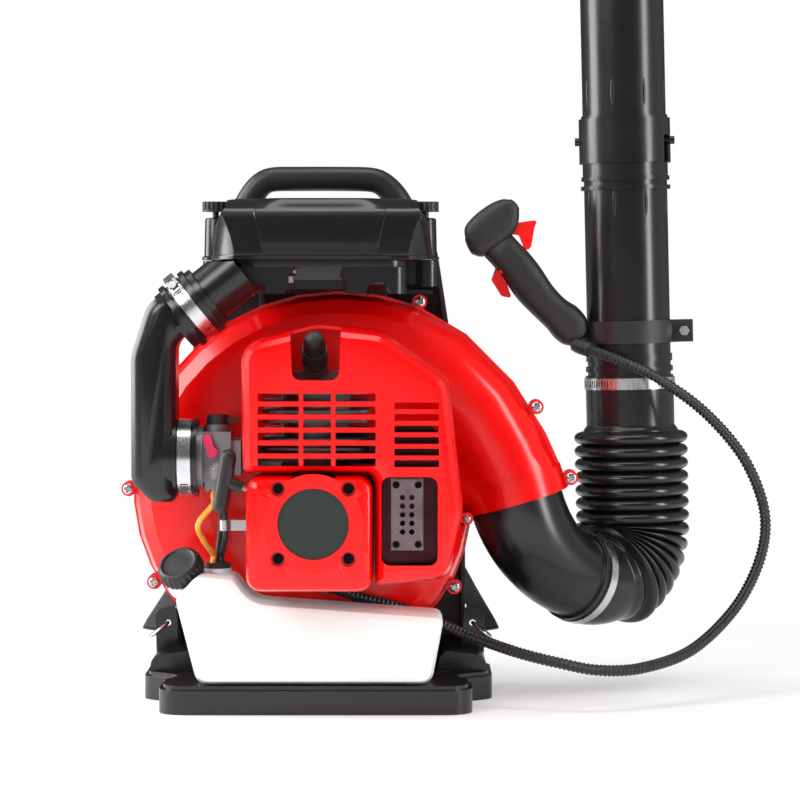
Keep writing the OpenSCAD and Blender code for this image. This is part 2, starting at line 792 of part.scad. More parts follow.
// Crankshaft, flywheel and fan, which turn as one
module fan_rotor() {
  fan_y = case_mid_y - fan_depth / 2;
  blade_r = fan_d / 2 - 4;
  hub_r = 42;
  color(iron) {
    crank_rod(flywheel_y - 14, fan_y + 24, shaft_d);
    difference() {
      crank_rod(flywheel_y, flywheel_y + 13, flywheel_d);
      crank_rod(flywheel_y - 1, flywheel_y + 9, flywheel_d - 44);
    }
  }
  color(black) {
    crank_rod(fan_y - 3, fan_y, fan_d);
    crank_rod(fan_y - 0.5, fan_y + 22, 40);
    // Backward-curved blades on the disc
    translate([crank.x, fan_y - 0.5, crank.y]) rotate([-90, 0, 0]) linear_extrude(fan_depth) {
      for (i = [0:fan_blades - 1]) {
        rotate(360 * i / fan_blades) polygon(concat(
          [for (t = [0:0.2:1]) let (r = mix(hub_r, blade_r, t)) r * [cos(34 * t), sin(34 * t)]],
          [for (t = [1:-0.2:0]) let (r = mix(hub_r, blade_r, t)) r * [cos(34 * t + 2.2), sin(34 * t + 2.2)]]
        ));
      }
    }
  }
}

// ---------- Engine ----------

// Aluminium case with a flange on the fan case and four pillars for the starter
module crankcase() {
  rear_y = case_front_y + plate_back;
  color(iron) difference() {
    union() {
      crank_rod(crankcase_front, rear_y, crankcase_d);
      along_y(flange_y, rear_y) {
        polygon(outline(box_corners(-62, crank_z - 60, 58, crank_z + 40, 16)));
      }
      for (p = pillars) {
        rod_y(p.x, crank_z + p.y, -starter_back, rear_y - 1, 12);
      }
      // Gland that anchors the throttle cable's sleeve
      rod(cable_route[0] - 16 * cable_in, cable_route[0], cable_d + 5);
      translate([-2, -37, 112]) cube([12, 12, 32]);
      // Flat seat for the cylinder
      translate([-32, engine_y - 28, crank_z + 20]) cube([64, 56, cylinder_base_z - crank_z - 20]);
    }
    crank_rod(crankcase_front - 1, rear_y + 1, shaft_d + 2 * run_gap);
  }
}

// Finned cylinder with the intake and exhaust ports at its sides
module cylinder_block() {
  fin_z0 = cylinder_base_z + 12;
  half = fin_d / 2;
  color(steel) difference() {
    union() {
      translate([0, engine_y, cylinder_base_z]) cylinder(h = head_z - cylinder_base_z, d = bore_d + 16);
      translate([-32, engine_y - 28, cylinder_base_z]) cube([64, 56, 6]);
      for (i = [0:fins - 1]) {
        translate([0, engine_y, fin_z0 + i * fin_pitch]) linear_extrude(2.4) {
          polygon(outline(box_corners(-half, -half + 8, half, half - 8, 14), 0, 3));
        }
      }
      rod_x(engine_y, carb_z, -56, -20, 26);
      rod_x(engine_y, exhaust_z, 20, muffler_x, 34);
      rod(plug_root, plug_seat, 24);
    }
    // Bore for the piston, the plug's thread, and both ports
    translate([0, engine_y, cylinder_base_z - 1]) cylinder(h = 67, d = bore_d);
    rod(plug_root - plug_dir, plug_seat + plug_dir, 14);
    rod(plug_seat, plug_seat + 50 * plug_dir, 27);
    rod_x(engine_y, carb_z, -57, -20, 18);
    rod_x(engine_y, exhaust_z, 20, muffler_x + 1, 24);
  }
}

module spark_plug() {
  color(steel) {
    rod(plug_seat - 16 * plug_dir, plug_seat + plug_dir, 14 - 2 * run_gap);
    aim(plug_seat, plug_dir) cylinder(h = 9, d = 20, $fn = 6);
  }
  color("white") rod(plug_seat + 8 * plug_dir, plug_seat + 30 * plug_dir, 10);
}

// Rubber boot on the plug, with the lead's stub turned down behind the cover
module plug_boot() {
  color(black) difference() {
    union() {
      rod(plug_seat + 12 * plug_dir, plug_seat + 44 * plug_dir, 20);
      aim(plug_seat + 44 * plug_dir, plug_dir) sphere(d = 20);
      for (k = [0:2]) {
        rod(plug_seat + (16 + 7 * k) * plug_dir, plug_seat + (19 + 7 * k) * plug_dir, 24);
      }
    }
    rod(plug_seat + 10 * plug_dir, plug_seat + 30 * plug_dir, 10 + 2 * run_gap);
  }
}

// Muffler with a perforated outlet plate and four screws
module muffler() {
  x0 = muffler_x;
  x1 = muffler_x + 56;
  z0 = crank_z - 44;
  z1 = exhaust_z + 22;
  front = engine_y - 82;
  plate_mid = [84.5, crank_z + 7];
  color(iron) difference() {
    union() {
      along_y(front, engine_y + 20) polygon(outline(box_corners(x0 + 2.6, z0, x1, z1, 12)));
      rod_x(engine_y, exhaust_z, x0, x0 + 4, 38);
      along_y(front - 2, front) {
        polygon(outline(box_corners(
          plate_mid.x - 14, plate_mid.y - 32, plate_mid.x + 14, plate_mid.y + 32, 5)));
      }
      for (x = [-10, 10], z = [-27, 27]) {
        rod_y(plate_mid.x + x, plate_mid.y + z, front - 4, front - 1, 5.4);
      }
    }
    // The can is pressed from sheet
    along_y(front + 2, engine_y + 18) polygon(outline(box_corners(x0 + 4.6, z0 + 2, x1 - 2, z1 - 2, 10)));
    for (column = [-1, 1], row = [-2:2]) {
      rod_y(plate_mid.x + column * 4.2, plate_mid.y + row * 7.8, front - 5, front + 3, 4.8);
    }
    rod_x(engine_y, exhaust_z, x0 - 1, x0 + 20, 24);
  }
}

starter_corners = box_corners(starter_x0, starter_z0, starter_x1, starter_z1, 14);
cover_corners = [
  [starter_x1 + soft_gap, starter_z0 + 4, 6], [123, 128, 18], [137, 187, 40], [123, 310, 26], [62, 353, 30],
  [2, 359, 40], [-67, 342, 22], [-66, starter_z1 + soft_gap, 6],
  [starter_x1 + soft_gap, starter_z1 + soft_gap, 8]
];
cover_eye = [starter_x1 + 28, starter_z1 + 28];
cover_wall = 3;

function cover_rings(inset, front) = [
  for (s = [[-cover_back, 0], [-front + 16, 1.5], [-front + 5, 4.5], [-front + 1, 9], [-front, 14]])
  across_y(outline(cover_corners, inset + s[1]), s[0])
];

// Red moulding over the cylinder and muffler, with its louvres
module engine_cover() {
  slot_h = 7.2;
  left_pitch = 11.7;
  right_pitch = 10.4;
  side_pitch = 12;
  cut_y = -cover_front - 2;
  color(red) difference() {
    union() {
      difference() {
        loft(cover_rings(0, cover_front), eye = cover_eye);
        loft(concat(
          [across_y(outline(cover_corners, cover_wall), -cover_back + 2)],
          cover_rings(cover_wall, cover_front - cover_wall)
        ), eye = cover_eye);
      }
      // Legs to the fan case
      for (p = cover_legs) {
        rod_y(p.x, p.y, -cover_front + 2, case_front_y, 12);
      }
    }
    // Grille over the cylinder: six rows in three columns
    for (row = [0:5], column = [0:2]) {
      x0 = [-50, -9, 20][column];
      x1 = [-13, 16, 56][column];
      translate([x0, cut_y, 290 - row * left_pitch]) cube([x1 - x0, 12, slot_h]);
    }
    // Louvres over the muffler
    for (row = [0:5]) {
      translate([73, cut_y, 283 - row * right_pitch]) cube([40, 12, 6.2]);
    }
    // Slots along the side
    for (row = [0:12]) {
      translate([112, -cover_front + 24, 296 - row * side_pitch]) cube([40, 56, 6.6]);
    }
    // Way in for the cylinder's foot and the intake
    translate([-56, -101, starter_z1 - 4]) cube([106, 60, 12]);
    rod_x(engine_y, carb_z, -75, -50, 30 + 2 * soft_gap);
    // Recess for the plug's boot, and the muffler's window
    along_y(-cover_front - 1, -cover_front + 58) {
      polygon(outline([[-19, 309, 8], [23, 309, 8], [26, 380, 4], [-22, 380, 4]]));
    }
    along_y(-cover_front - 1, -cover_front + 10) {
      polygon(outline(box_corners(61, 142, 112, 222, 8)));
    }
  }
}

// Starter housing with its raised ring, disc recess and four deep screw wells
module starter_case() {
  front = engine_front;
  sections = [[-starter_back, 0], [-front + 12, 1], [-front + 4, 3.5], [-front + 1, 8], [-front, 12]];
  color(red) difference() {
    union() {
      loft([for (s = sections) across_y(outline(starter_corners, s[1]), s[0])]);
      crank_rod(-front - 2, -front + 4, 90);
    }
    crank_rod(-front - 3, -front + 0.5, disc_d + 2 * run_gap);
    // Room for the rope pulley, round the post that it turns on
    difference() {
      crank_rod(-front + 8, -starter_back + 1, 92);
      crank_rod(-front + 7, pulley_y + 12, post_d);
    }
    for (x = [-1, 1], z = [-1, 1]) {
      rod_y(crank.x + x * screw_out, crank.y + z * screw_out, -front - 3, -front + 6, 13.5);
      rod_y(crank.x + x * screw_out, crank.y + z * screw_out, -front - 3, -starter_back + 1, 5);
    }
    rod(rope_eye + pull_dir, rope_eye - 30 * pull_dir, 7);
  }
}

module starter_disc() {
  color(black) crank_rod(-engine_front - 1, -engine_front + 0.5, disc_d);
}

// Screws in the starter case's wells
module cover_screws() {
  head_y = -engine_front + 6;
  color(steel) for (x = [-1, 1], z = [-1, 1]) {
    rod_y(crank.x + x * screw_out, crank.y + z * screw_out, head_y - 3.5, head_y, 9.5);
    rod_y(crank.x + x * screw_out, crank.y + z * screw_out, head_y - 1, head_y + 9, 5 - 2 * run_gap);
  }
}

module starter_pulley() {
  color(black) difference() {
    union() {
      crank_rod(pulley_y, pulley_y + 2.5, pulley_d);
      crank_rod(pulley_y, pulley_y + 12, pulley_d - 8);
      crank_rod(pulley_y + 9.5, pulley_y + 12, pulley_d);
    }
    crank_rod(pulley_y - 1, pulley_y + 13, post_d + 2 * run_gap);
  }
}

// Rope from the pulley to the grip
module starter_rope() {
  color("white") rod(rope_eye - rope_in * pull_dir, rope_eye + rope_show * pull_dir, 4);
}

// T-shaped grip on the starter rope
module starter_grip() {
  hub = rope_eye + rope_show * pull_dir;
  bar_mid = hub + 17 * pull_dir;
  bar_dir = unit([0.16, 0, 1]);
  color(black) {
    rod(hub, bar_mid, 12);
    for (end = [-1, 1]) {
      rod(bar_mid, bar_mid + end * 22 * bar_dir, 15);
      translate(bar_mid + end * 22 * bar_dir) sphere(d = 15, $fn = 32);
    }
  }
}

// ---------- Fuel system ----------

tank_corners = [
  [-109, tank_z, 12], [107, tank_z, 12], [119, 91, 8], [-58, 104, 30],
  [-74, 126, 10], [-112, 130, 14], [-129, 106, 14]
];

tank_eye = [-60, 70];

// Tank, thicker at its left shoulder, where the filler neck leans forward
module fuel_tank() {
  sections = [[0, 8], [2, 3], [8, 0], [tank_depth - 8, 0], [tank_depth - 2, 3], [tank_depth, 8]];
  neck_d = fuel_cap_d - 8;
  color(milky) difference() {
    union() {
      difference() {
        loft([for (s = sections) across_y(outline(tank_corners, s[1]), -tank_back - s[0])], eye = tank_eye);
        // Slanted seat under the cap
        rod(cap_at, cap_at + 40 * cap_dir, fuel_cap_d + 8);
      }
      rod(cap_at - 22 * cap_dir, cap_at + 8 * cap_dir, neck_d);
      rod(cap_at - 14 * cap_dir, cap_at, fuel_cap_d - 2);
      rod([grommet_at.x, grommet_at.y, 110], grommet_at, 26);
    }
    difference() {
      loft([
        for (s = sections)
        across_y(
          outline(tank_corners, s[1] + tank_wall),
          mix(-tank_back - tank_wall, -tank_front + tank_wall, s[0] / tank_depth)
        )
      ], eye = tank_eye);
      rod(cap_at - 6 * cap_dir, cap_at + 40 * cap_dir, fuel_cap_d + 14);
    }
    rod(cap_at - 18 * cap_dir, cap_at + 9 * cap_dir, neck_d - 6);
    rod(grommet_at - [0, 0, 20], grommet_at + [0, 0, 1], 19);
  }
}

// Rubber grommet that seals the lines where they enter the tank
module tank_grommet() {
  color(rubber) difference() {
    union() {
      rod(grommet_at, grommet_at + [0, 0, 5], 24);
      rod(grommet_at - [0, 0, 8], grommet_at + [0, 0, 1], 19 - 2 * run_gap);
    }
    for (p = line_spots) {
      rod([p.x, p.y, grommet_at.z - 9], [p.x, p.y, grommet_at.z + 6], fuel_line_d + 2 * soft_gap);
    }
  }
}

// Screw cap with grip ribs and a raised cross bar
module fuel_cap() {
  cap_h = 16;
  color(black) aim(cap_at + run_gap * cap_dir, cap_dir) difference() {
    union() {
      cylinder(h = cap_h, d = fuel_cap_d);
      for (i = [0:17]) {
        rotate(20 * i) translate([fuel_cap_d / 2, 0, 1.5]) cylinder(h = cap_h - 4, d = 3);
      }
      translate([-14, -3, cap_h - 1]) cube([28, 6, 4]);
      translate([-3, -14, cap_h - 1]) cube([6, 28, 4]);
    }
    translate([0, 0, -1]) cylinder(h = 11, d = fuel_cap_d - 8 + 2 * soft_gap);
  }
}

module fuel_line() {
  color(amber) cord(curve(fuel_route, 4), fuel_line_d);
}

module breather_lines() {
  color(rubber) for (route = breather_routes) {
    cord(curve(route, 4), fuel_line_d);
  }
}

// Steel clip on the crankcase that holds the lines
module line_clip() {
  at = clip_at;
  color(steel) {
    difference() {
      union() {
        rod(at - [0, 0, 5], at + [0, 0, 5], fuel_line_d + 4.6);
        translate([at.x, at.y - 1, at.z - 5]) cube([clip_leg_x - at.x + 2.4, 2.4, 10]);
      }
      rod(at - [0, 0, 6], at + [0, 0, 6], fuel_line_d + 2);
    }
    translate([clip_leg_x, at.y - 1, at.z - 5]) cube([2.4, flange_y - at.y + 1, 10]);
  }
}

// ---------- Intake ----------

module carburettor() {
  throat_d = 20;
  x0 = -103;
  x1 = -77;
  color(iron) difference() {
    union() {
      translate([x0, carb_y - 20, carb_z - 22]) cube([x1 - x0, 42, 46]);
      // Horn under the duct's cuff, and the insulator towards the cylinder
      rod_x(carb_y, carb_z, -124, x0, lower_cuff_d - 10);
      translate([x1 - 1, carb_y - 16, carb_z - 16]) cube([10, 46, 32]);
      rod_x(engine_y, carb_z, x1 - 1, -56, 30);
      // Pump cover below with its screws, and the barrel above
      translate([x0 + 2, carb_y - 18, carb_z - 29]) cube([x1 - x0 - 4, 38, 8]);
      for (x = [x0 + 5, x1 - 5], y = [carb_y - 14, carb_y + 15]) {
        rod([x, y, carb_z - 31], [x, y, carb_z - 28], 6);
      }
      rod([lever_at.x, lever_at.y, carb_z + 22], lever_at, 24);
    }
    rod_x(carb_y, carb_z, -125, -90, throat_d + 16);
    rod_x(carb_y, carb_z, -91, x1 + 6, throat_d);
    rod(lever_at - [0, 0, 12], lever_at + [0, 0, 1], 8 + 2 * run_gap);
    rod([bulb_at.x, bulb_at.y - 1, bulb_at.z], [bulb_at.x, bulb_at.y + 8, bulb_at.z], 17);
    rod_y(choke_at.x, choke_at.z, choke_at.y - 1, choke_at.y + 12, 5 + 2 * run_gap);
  }
}

// Lever on the carburettor's barrel that the throttle cable turns
module throttle_lever() {
  color(black) {
    rod(lever_at - [0, 0, 11], lever_at + [0, 0, 9], 8);
    rod(lever_at, lever_at + [0, 0, 9], 21);
    difference() {
      translate([lever_at.x, lever_at.y - 5, lever_at.z + 2]) cube([19, 10, 4]);
      rod(lever_at + [15, 0, 0], lever_at + [15, 0, 8], 4);
    }
  }
}

module choke_lever() {
  color("#d0145a") {
    rod_y(choke_at.x, choke_at.z, choke_at.y - 5, choke_at.y + 11, 5);
    rod_y(choke_at.x, choke_at.z, choke_at.y - 5, choke_at.y - 1, 10);
    along_y(choke_at.y - 5, choke_at.y - 1.5) {
      polygon(outline([
        [choke_at.x - 2, choke_at.z - 3, 1], [choke_at.x + 2, choke_at.z + 2, 1],
        [choke_at.x - 1, choke_at.z + 16, 2], [choke_at.x - 8, choke_at.z + 16, 2],
        [choke_at.x - 8, choke_at.z + 9, 2]
      ]));
    }
  }
}

// Clear bulb that is pressed to fill the carburettor
module primer_bulb() {
  color("#c9cfd0") {
    rod_y(bulb_at.x, bulb_at.z, bulb_at.y - 3, bulb_at.y + 4, 16.4);
    intersection() {
      translate([bulb_at.x, bulb_at.y - 3, bulb_at.z]) sphere(d = 16.4);
      rod_y(bulb_at.x, bulb_at.z, bulb_at.y - 14, bulb_at.y - 2, 20);
    }
  }
}

duct_corners = [
  [-150, 196, 12], [-127, 196, 6], [-127, 340, 16], [-112, 356, 6], [-132, 388, 10], [-152, 380, 26],
  [-168, 330, 40], [-168, 214, 14]
];

// Moulded duct from the air cleaner down to the carburettor, with a rubber cuff at each end
module intake_duct() {
  half = 30;
  sections = [[half, 10], [half - 3, 4], [half - 9, 0], [9 - half, 0], [3 - half, 4], [-half, 10]];
  upper_end = upper_cuff_at + 18 * upper_cuff_dir;
  upper_root = upper_cuff_at - 22 * upper_cuff_dir;
  color(black) difference() {
    union() {
      loft([for (s = sections) across_y(outline(duct_corners, s[1]), duct_y + s[0])], eye = [-148, 338]);
      rod(upper_root, upper_end, stub_d);
      for (k = [0:1]) {
        rod(upper_cuff_at + (k * 22 - 15) * upper_cuff_dir, upper_cuff_at + (k * 22 - 10) * upper_cuff_dir,
          stub_d + 7);
      }
      rod_x(duct_y, carb_z, -140, -108, lower_cuff_d);
      rod_x(duct_y, carb_z, -130, -127, lower_cuff_d + 5);
      rod_x(duct_y, carb_z, -111, -108, lower_cuff_d + 5);
    }
    loft([
      for (s = [[half - 2.5, 12], [half - 9, 2.5], [9 - half, 2.5], [2.5 - half, 12]])
      across_y(outline(duct_corners, s[1], 2), duct_y + s[0])
    ], eye = [-148, 338]);
    rod(upper_cuff_at - 20 * upper_cuff_dir, upper_end + upper_cuff_dir, stub_d - 9);
    rod_x(duct_y, carb_z, -136, -107, lower_cuff_d - 10 + 2 * soft_gap);
  }
}

module upper_duct_clamp() {
  color(steel) worm_clamp(upper_cuff_at - 7 * upper_cuff_dir, upper_cuff_dir, stub_d + 2 * soft_gap, 12, 200);
}

module lower_duct_clamp() {
  color(steel) worm_clamp([-125.5, duct_y, carb_z], [1, 0, 0], lower_cuff_d + 2 * soft_gap, 12, 90);
}

// ---------- Air cleaner ----------

// Lower case with the deck for the filter, the stub for the duct and two arms to the back frame
module air_cleaner_case() {
  deck_z = cleaner_z;
  corners = box_corners(-80, -86, 85, 58, 24);
  color(black) difference() {
    union() {
      loft([
        for (s = [[-28, 10], [-22, 3], [-6, 0], [0, 0]])
        [for (p = outline(corners, s[1])) [p.x, p.y, deck_z + s[0]]]
      ]);
      for (p = knob_spots) {
        rod([p.x, p.y, deck_z - 24], [p.x, p.y, deck_z], 24);
        translate([min(p.x, 0), p.y - 8, deck_z - 22]) cube([abs(p.x), 16, 22]);
      }
      for (x = [-45, 45]) {
        translate([x - 9, 50, deck_z - 24]) cube([18, frame_y - 50, 18]);
      }
      intersection() {
        rod(stub_end, stub_end + 58 * upper_cuff_dir, stub_d - 9 - 2 * soft_gap);
        translate([-200, -200, deck_z - 101]) cube([250, 250, 100]);
      }
    }
    // Air space under the deck, with its way out through the stub
    loft([
      for (s = [[-25, 10], [-20, 6], [-7, 3], [-3, 3]])
      [for (p = outline(corners, s[1], 2)) [p.x, p.y, deck_z + s[0]]]
    ]);
    rod(stub_end - upper_cuff_dir, stub_end + 60 * upper_cuff_dir, stub_d - 18);
    for (p = knob_spots) {
      rod([p.x, p.y, deck_z - 18], [p.x, p.y, deck_z + 1], stud_d + 2 * run_gap);
    }
  }
}

// Pleated filter block on the deck
module filter_element() {
  pleats = 22;
  half_w = 62;
  color("#d8cfae") translate([3, -7, cleaner_z]) {
    linear_extrude(5) polygon(outline(box_corners(-half_w - 6, -50, half_w + 6, 50, 10)));
    translate([0, 0, 4]) linear_extrude(24) polygon(concat(
      [for (i = [0:pleats]) [mix(-half_w, half_w, i / pleats), i % 2 == 0 ? 44 : 36]],
      [for (i = [pleats:-1:0]) [mix(-half_w, half_w, i / pleats), i % 2 == 0 ? -44 : -36]]
    ));
  }
}

// Domed cover with an ear at each side for its knob
module air_cleaner_cover() {
  corners = [
    [-99, -84, 26], [-60, -90, 30], [66, -90, 30], [108, -84, 26], [104, 60, 40], [60, 74, 30],
    [-52, 74, 30], [-96, 60, 40]
  ];
  sections = [[0, 1], [3, 0], [24, 0.5], [40, 4], [49, 11], [55, 22]];
  crown = [cleaner_cover_h, 40];
  top = concat(sections, [crown]);
  scale_z = cleaner_cover_h / 58;
  color(black) difference() {
    union() {
      difference() {
        loft([
          for (s = top) [for (p = outline(corners, s[1])) [p.x, p.y, cleaner_z + s[0] * scale_z]]
        ]);
        loft([
          for (s = [[-1, 4], [3, 4], [24, 4], [38, 7], [46, 14], [51, 25]])
          [for (p = outline(corners, s[1])) [p.x, p.y, cleaner_z + s[0] * scale_z]]
        ]);
      }
      for (p = knob_spots) {
        rod([p.x, p.y, cleaner_z], [p.x, p.y, knob_z], 28);
      }
      // Shallow rib across the dome
      translate([-54, -58, cleaner_top_z - 5]) cube([114, 5, 5]);
    }
    for (p = knob_spots) {
      rod([p.x, p.y, cleaner_z - 1], [p.x, p.y, knob_z + 1], stud_d + 2 * run_gap);
      rod([p.x, p.y, knob_z], [p.x, p.y, knob_z + 20], knob_d + 4);
    }
  }
}

// Knurled knob with its stud down into the case
module cover_knob(p) {
  color(black) {
    difference() {
      rod([p.x, p.y, knob_z], [p.x, p.y, knob_z + 9.5], knob_d);
      for (i = [0:15]) {
        translate([p.x, p.y, knob_z + 1.5]) rotate(22.5 * i) translate([knob_d / 2 + 0.6, 0, 0]) {
          cylinder(h = 9, d = 3.4);
        }
      }
    }
    rod([p.x, p.y, cleaner_z - 16], [p.x, p.y, knob_z + 1], stud_d);
  }
}
module cover_knob_left() { cover_knob(knob_spots[0]); }
module cover_knob_right() { cover_knob(knob_spots[1]); }

// ---------- Blowing tubes ----------

elbow_rings = 14;
elbow_sides = 32;
elbow_l = elbow_r * elbow_turn * PI / 180;

// Ring at a length along the elbow, from its neck in the collar to its spigot in the hose
function elbow_ring(s, r) =
  let (
    a = elbow_turn * limit(s / elbow_l, 0, 1),
    on = s < 0 ? s * outlet_dir : max(s - elbow_l, 0) * elbow_end_dir
  )
  ring(elbow_point(a) + on, unit(elbow_point(a) - elbow_hub), cross(elbow_side, outlet_dir), r, elbow_sides);

// Gloss elbow that swivels in the collar, tapers along its bend and ends in a beaded spigot
module elbow() {
  tip = elbow_l + hose_lead + 10;
  bend = [
    for (i = [0:elbow_rings - 1])
    [elbow_l * i / elbow_rings, mix(elbow_d, pipe_d, ease(i / elbow_rings)) / 2]
  ];
  bead = [
    [elbow_l - 3, pipe_d / 2], [elbow_l - 2, pipe_d / 2 + 3], [elbow_l + 2, pipe_d / 2 + 3],
    [elbow_l + 3, pipe_d / 2], [tip, pipe_d / 2]
  ];
  color(black) pipe_wall_loft(
    [for (p = concat([[-22, elbow_d / 2]], bend, bead)) elbow_ring(p[0], p[1])],
    [for (p = concat([[-22, elbow_d / 2]], bend, [[tip, pipe_d / 2]])) elbow_ring(p[0], p[1] - pipe_wall)]
  );
}

module elbow_clamp() {
  color(steel) worm_clamp(elbow_end + 5 * elbow_end_dir, elbow_end_dir, hose_cuff_d + 2 * soft_gap, 9, 60);
}

// Radius of the hose's outside along its length, as crests between roots
hose_root_r = hose_d / 2 - 8;
hose_sides = 24;
hose_bend_l = hose_r * hose_turn * PI / 180;
hose_straight_l = norm(hose_top - hose_bend_end);
hose_l = hose_lead + hose_bend_l + hose_straight_l;
hose_rib_from = hose_lead + 38;
hose_rib_to = hose_l - 55;

// Place and direction at a length along the hose
function hose_at(s) =
  s < hose_lead ? hose_from - (hose_lead - s) * elbow_end_dir
  : s < hose_lead + hose_bend_l ? hose_point((s - hose_lead) * 180 / PI / hose_r)
  : hose_bend_end + (s - hose_lead - hose_bend_l) * pipe_dir;
function hose_dir(s) =
  let (a = limit((s - hose_lead) * 180 / PI / hose_r, 0, hose_turn))
  sin(a) * hose_side + cos(a) * elbow_end_dir;
function hose_ring(s, r) =
  let (across = cross(hose_side, elbow_end_dir))
  ring(hose_at(s), cross(across, hose_dir(s)), across, r, hose_sides);

// Ribbed hose with plain cuffs; the rings crowd together on the inside of the bend
module flexible_hose() {
  pitch = (hose_rib_to - hose_rib_from) / hose_ribs;
  cuff_r = hose_cuff_d / 2;
  bore_r = pipe_d / 2 + cuff_fit;
  start = 3;
  profile = concat(
    [for (k = [0:4]) [mix(start, hose_rib_from - 10, k / 4), cuff_r]],
    [[hose_rib_from - 1, hose_root_r - 2]],
    [
      for (i = [0:hose_ribs - 1], k = [0:2])
      [hose_rib_from + pitch * (i + [0.1, 0.38, 0.72][k]), k == 0 ? hose_root_r : hose_d / 2]
    ],
    [[hose_rib_to + 1, hose_root_r], [hose_rib_to + 6, cuff_r], [hose_l, cuff_r]]
  );
  bore_steps = 20;
  bore = [
    for (i = [0:bore_steps])
    let (s = mix(start, hose_l, i / bore_steps))
    [s, i == 0 || i == bore_steps ? bore_r : bore_r + 1.2]
  ];
  color(rubber) pipe_wall_loft(
    [for (p = profile) hose_ring(p[0], p[1])],
    [for (p = bore) hose_ring(p[0], p[1])]
  );
}

module hose_top_clamp() {
  color(steel) worm_clamp(on_pipe(-13), pipe_dir, hose_cuff_d + 2 * soft_gap, 11, 250);
}

// Swivel pipe with its ridges over the hose and the bayonet sleeve at its top
module swivel_pipe() {
  color(black) difference() {
    union() {
      rod(on_pipe(-26), on_pipe(joint_up - 2), pipe_d);
      rod(on_pipe(4), on_pipe(9), pipe_d + 4);
      rod(on_pipe(14), on_pipe(21), pipe_d + 3);
      rod(on_pipe(joint_up - 26), on_pipe(joint_up - 22), pipe_d + 6);
      rod(on_pipe(joint_up - 17), on_pipe(joint_up - 13), pipe_d + 5);
      rod(on_pipe(joint_up - 13), on_pipe(joint_up - run_gap), pipe_d + 2);
      // Pegs for the bayonet
      for (side = [-1, 1]) {
        peg = on_pipe(joint_up + sleeve_l / 2) + side * bayonet_out * (pipe_d / 2 - 4);
        rod(peg, peg + side * bayonet_out * 12, 8);
      }
      rod(on_pipe(joint_up - 2), on_pipe(joint_up + sleeve_l - 4), pipe_d - 2 * cuff_fit - 4);
    }
    rod(on_pipe(-27), on_pipe(joint_up + sleeve_l), pipe_d - 2 * pipe_wall - 5);
  }
}

// Straight pipe with a bayonet socket over the swivel pipe and dimples for the hand
module straight_pipe() {
  bore = pipe_d - 4;
  color(black) difference() {
    union() {
      rod(on_pipe(joint_up), on_pipe(nozzle_up), pipe_d);
      rod(on_pipe(joint_up), on_pipe(joint_up + sleeve_l), pipe_d + 8);
      rod(on_pipe(joint_up + sleeve_l - 2), on_pipe(joint_up + sleeve_l + 3), pipe_d + 3);
    }
    rod(on_pipe(joint_up - 1), on_pipe(nozzle_up + 1), bore);
    // L-shaped slots for the pegs
    for (side = [-1, 1]) {
      aim(on_pipe(joint_up - 1), pipe_dir) rotate([0, 0, side < 0 ? 180 : 0]) {
        rotate(-bayonet_turn) translate([pipe_d / 2 - 5, -4.3, 0]) cube([14, 8.6, sleeve_l / 2 + 6]);
        translate([0, 0, sleeve_l / 2 - 3.3]) rotate(-bayonet_turn) {
          rotate_extrude(angle = bayonet_turn) translate([pipe_d / 2 - 5, 0]) square([14, 8.6]);
        }
        // Round seat where the peg locks
        translate([pipe_d / 2 - 5, 0, sleeve_l / 2 + 1]) rotate([0, 90, 0]) cylinder(h = 14, d = 9.4);
      }
    }
  }
}

// Nozzle that narrows to its mouth
module nozzle() {
  socket = 40;
  color(black) aim(on_pipe(nozzle_up - socket), pipe_dir) difference() {
    union() {
      cylinder(h = socket + 12, d = pipe_d + 6);
      translate([0, 0, socket + 12]) cylinder(h = nozzle_l - 12, d1 = pipe_d + 4, d2 = nozzle_mouth_d);
      cylinder(h = 5, d = pipe_d + 9);
    }
    translate([0, 0, -1]) cylinder(h = socket + 1, d = pipe_d + 2 * cuff_fit);
    translate([0, 0, socket - 0.5]) cylinder(h = 14, d = pipe_d - 2);
    translate([0, 0, socket + 13]) {
      cylinder(h = nozzle_l, d1 = pipe_d - 2, d2 = nozzle_mouth_d - 2 * pipe_wall - 0.2);
    }
  }
}

// ---------- Control handle ----------

clamp_ring_d = pipe_d + 2 * cuff_fit + 7;
tongue_t = 8;

// Split ring round the swivel pipe with a lug for its bolt
module handle_clamp() {
  at = on_pipe(clamp_up);
  color(black) difference() {
    union() {
      rod(at, at + clamp_h * pipe_dir, clamp_ring_d);
      aim(at, pipe_dir) translate([-pipe_d / 2 - 22, -8, 0]) cube([20, 16, clamp_h]);
      // Tongue and pin that carry the handle
      along_y(grip_y - tongue_t / 2, grip_y + tongue_t / 2) {
        polygon(outline(box_corners(handle_pin.x - 7, handle_pin.y - 8, 268, handle_pin.y + 8, 3)));
      }
      rod_y(handle_pin.x, handle_pin.y, grip_y - grip_t / 2 + 4, grip_y + grip_t / 2 - 4, 6);
    }
    rod(at - pipe_dir, at + (clamp_h + 1) * pipe_dir, pipe_d + 2 * cuff_fit);
    aim(at, pipe_dir) {
      translate([-pipe_d / 2 - 28, -0.8, -1]) cube([30, 1.6, clamp_h + 2]);
      translate([-pipe_d / 2 - 13, 12, clamp_h / 2]) rotate([90, 0, 0]) cylinder(h = 24, d = 6.1);
    }
  }
}

module clamp_bolt() {
  at = on_pipe(clamp_up);
  color(steel) aim(at, pipe_dir) translate([-pipe_d / 2 - 13, 0, clamp_h / 2]) rotate([90, 0, 0]) {
    translate([0, 0, -8]) cylinder(h = 16, d = 6);
    translate([0, 0, 8]) cylinder(h = 5, d = 11);
    translate([0, 0, -13]) cylinder(h = 5, d = 10, $fn = 6);
  }
}

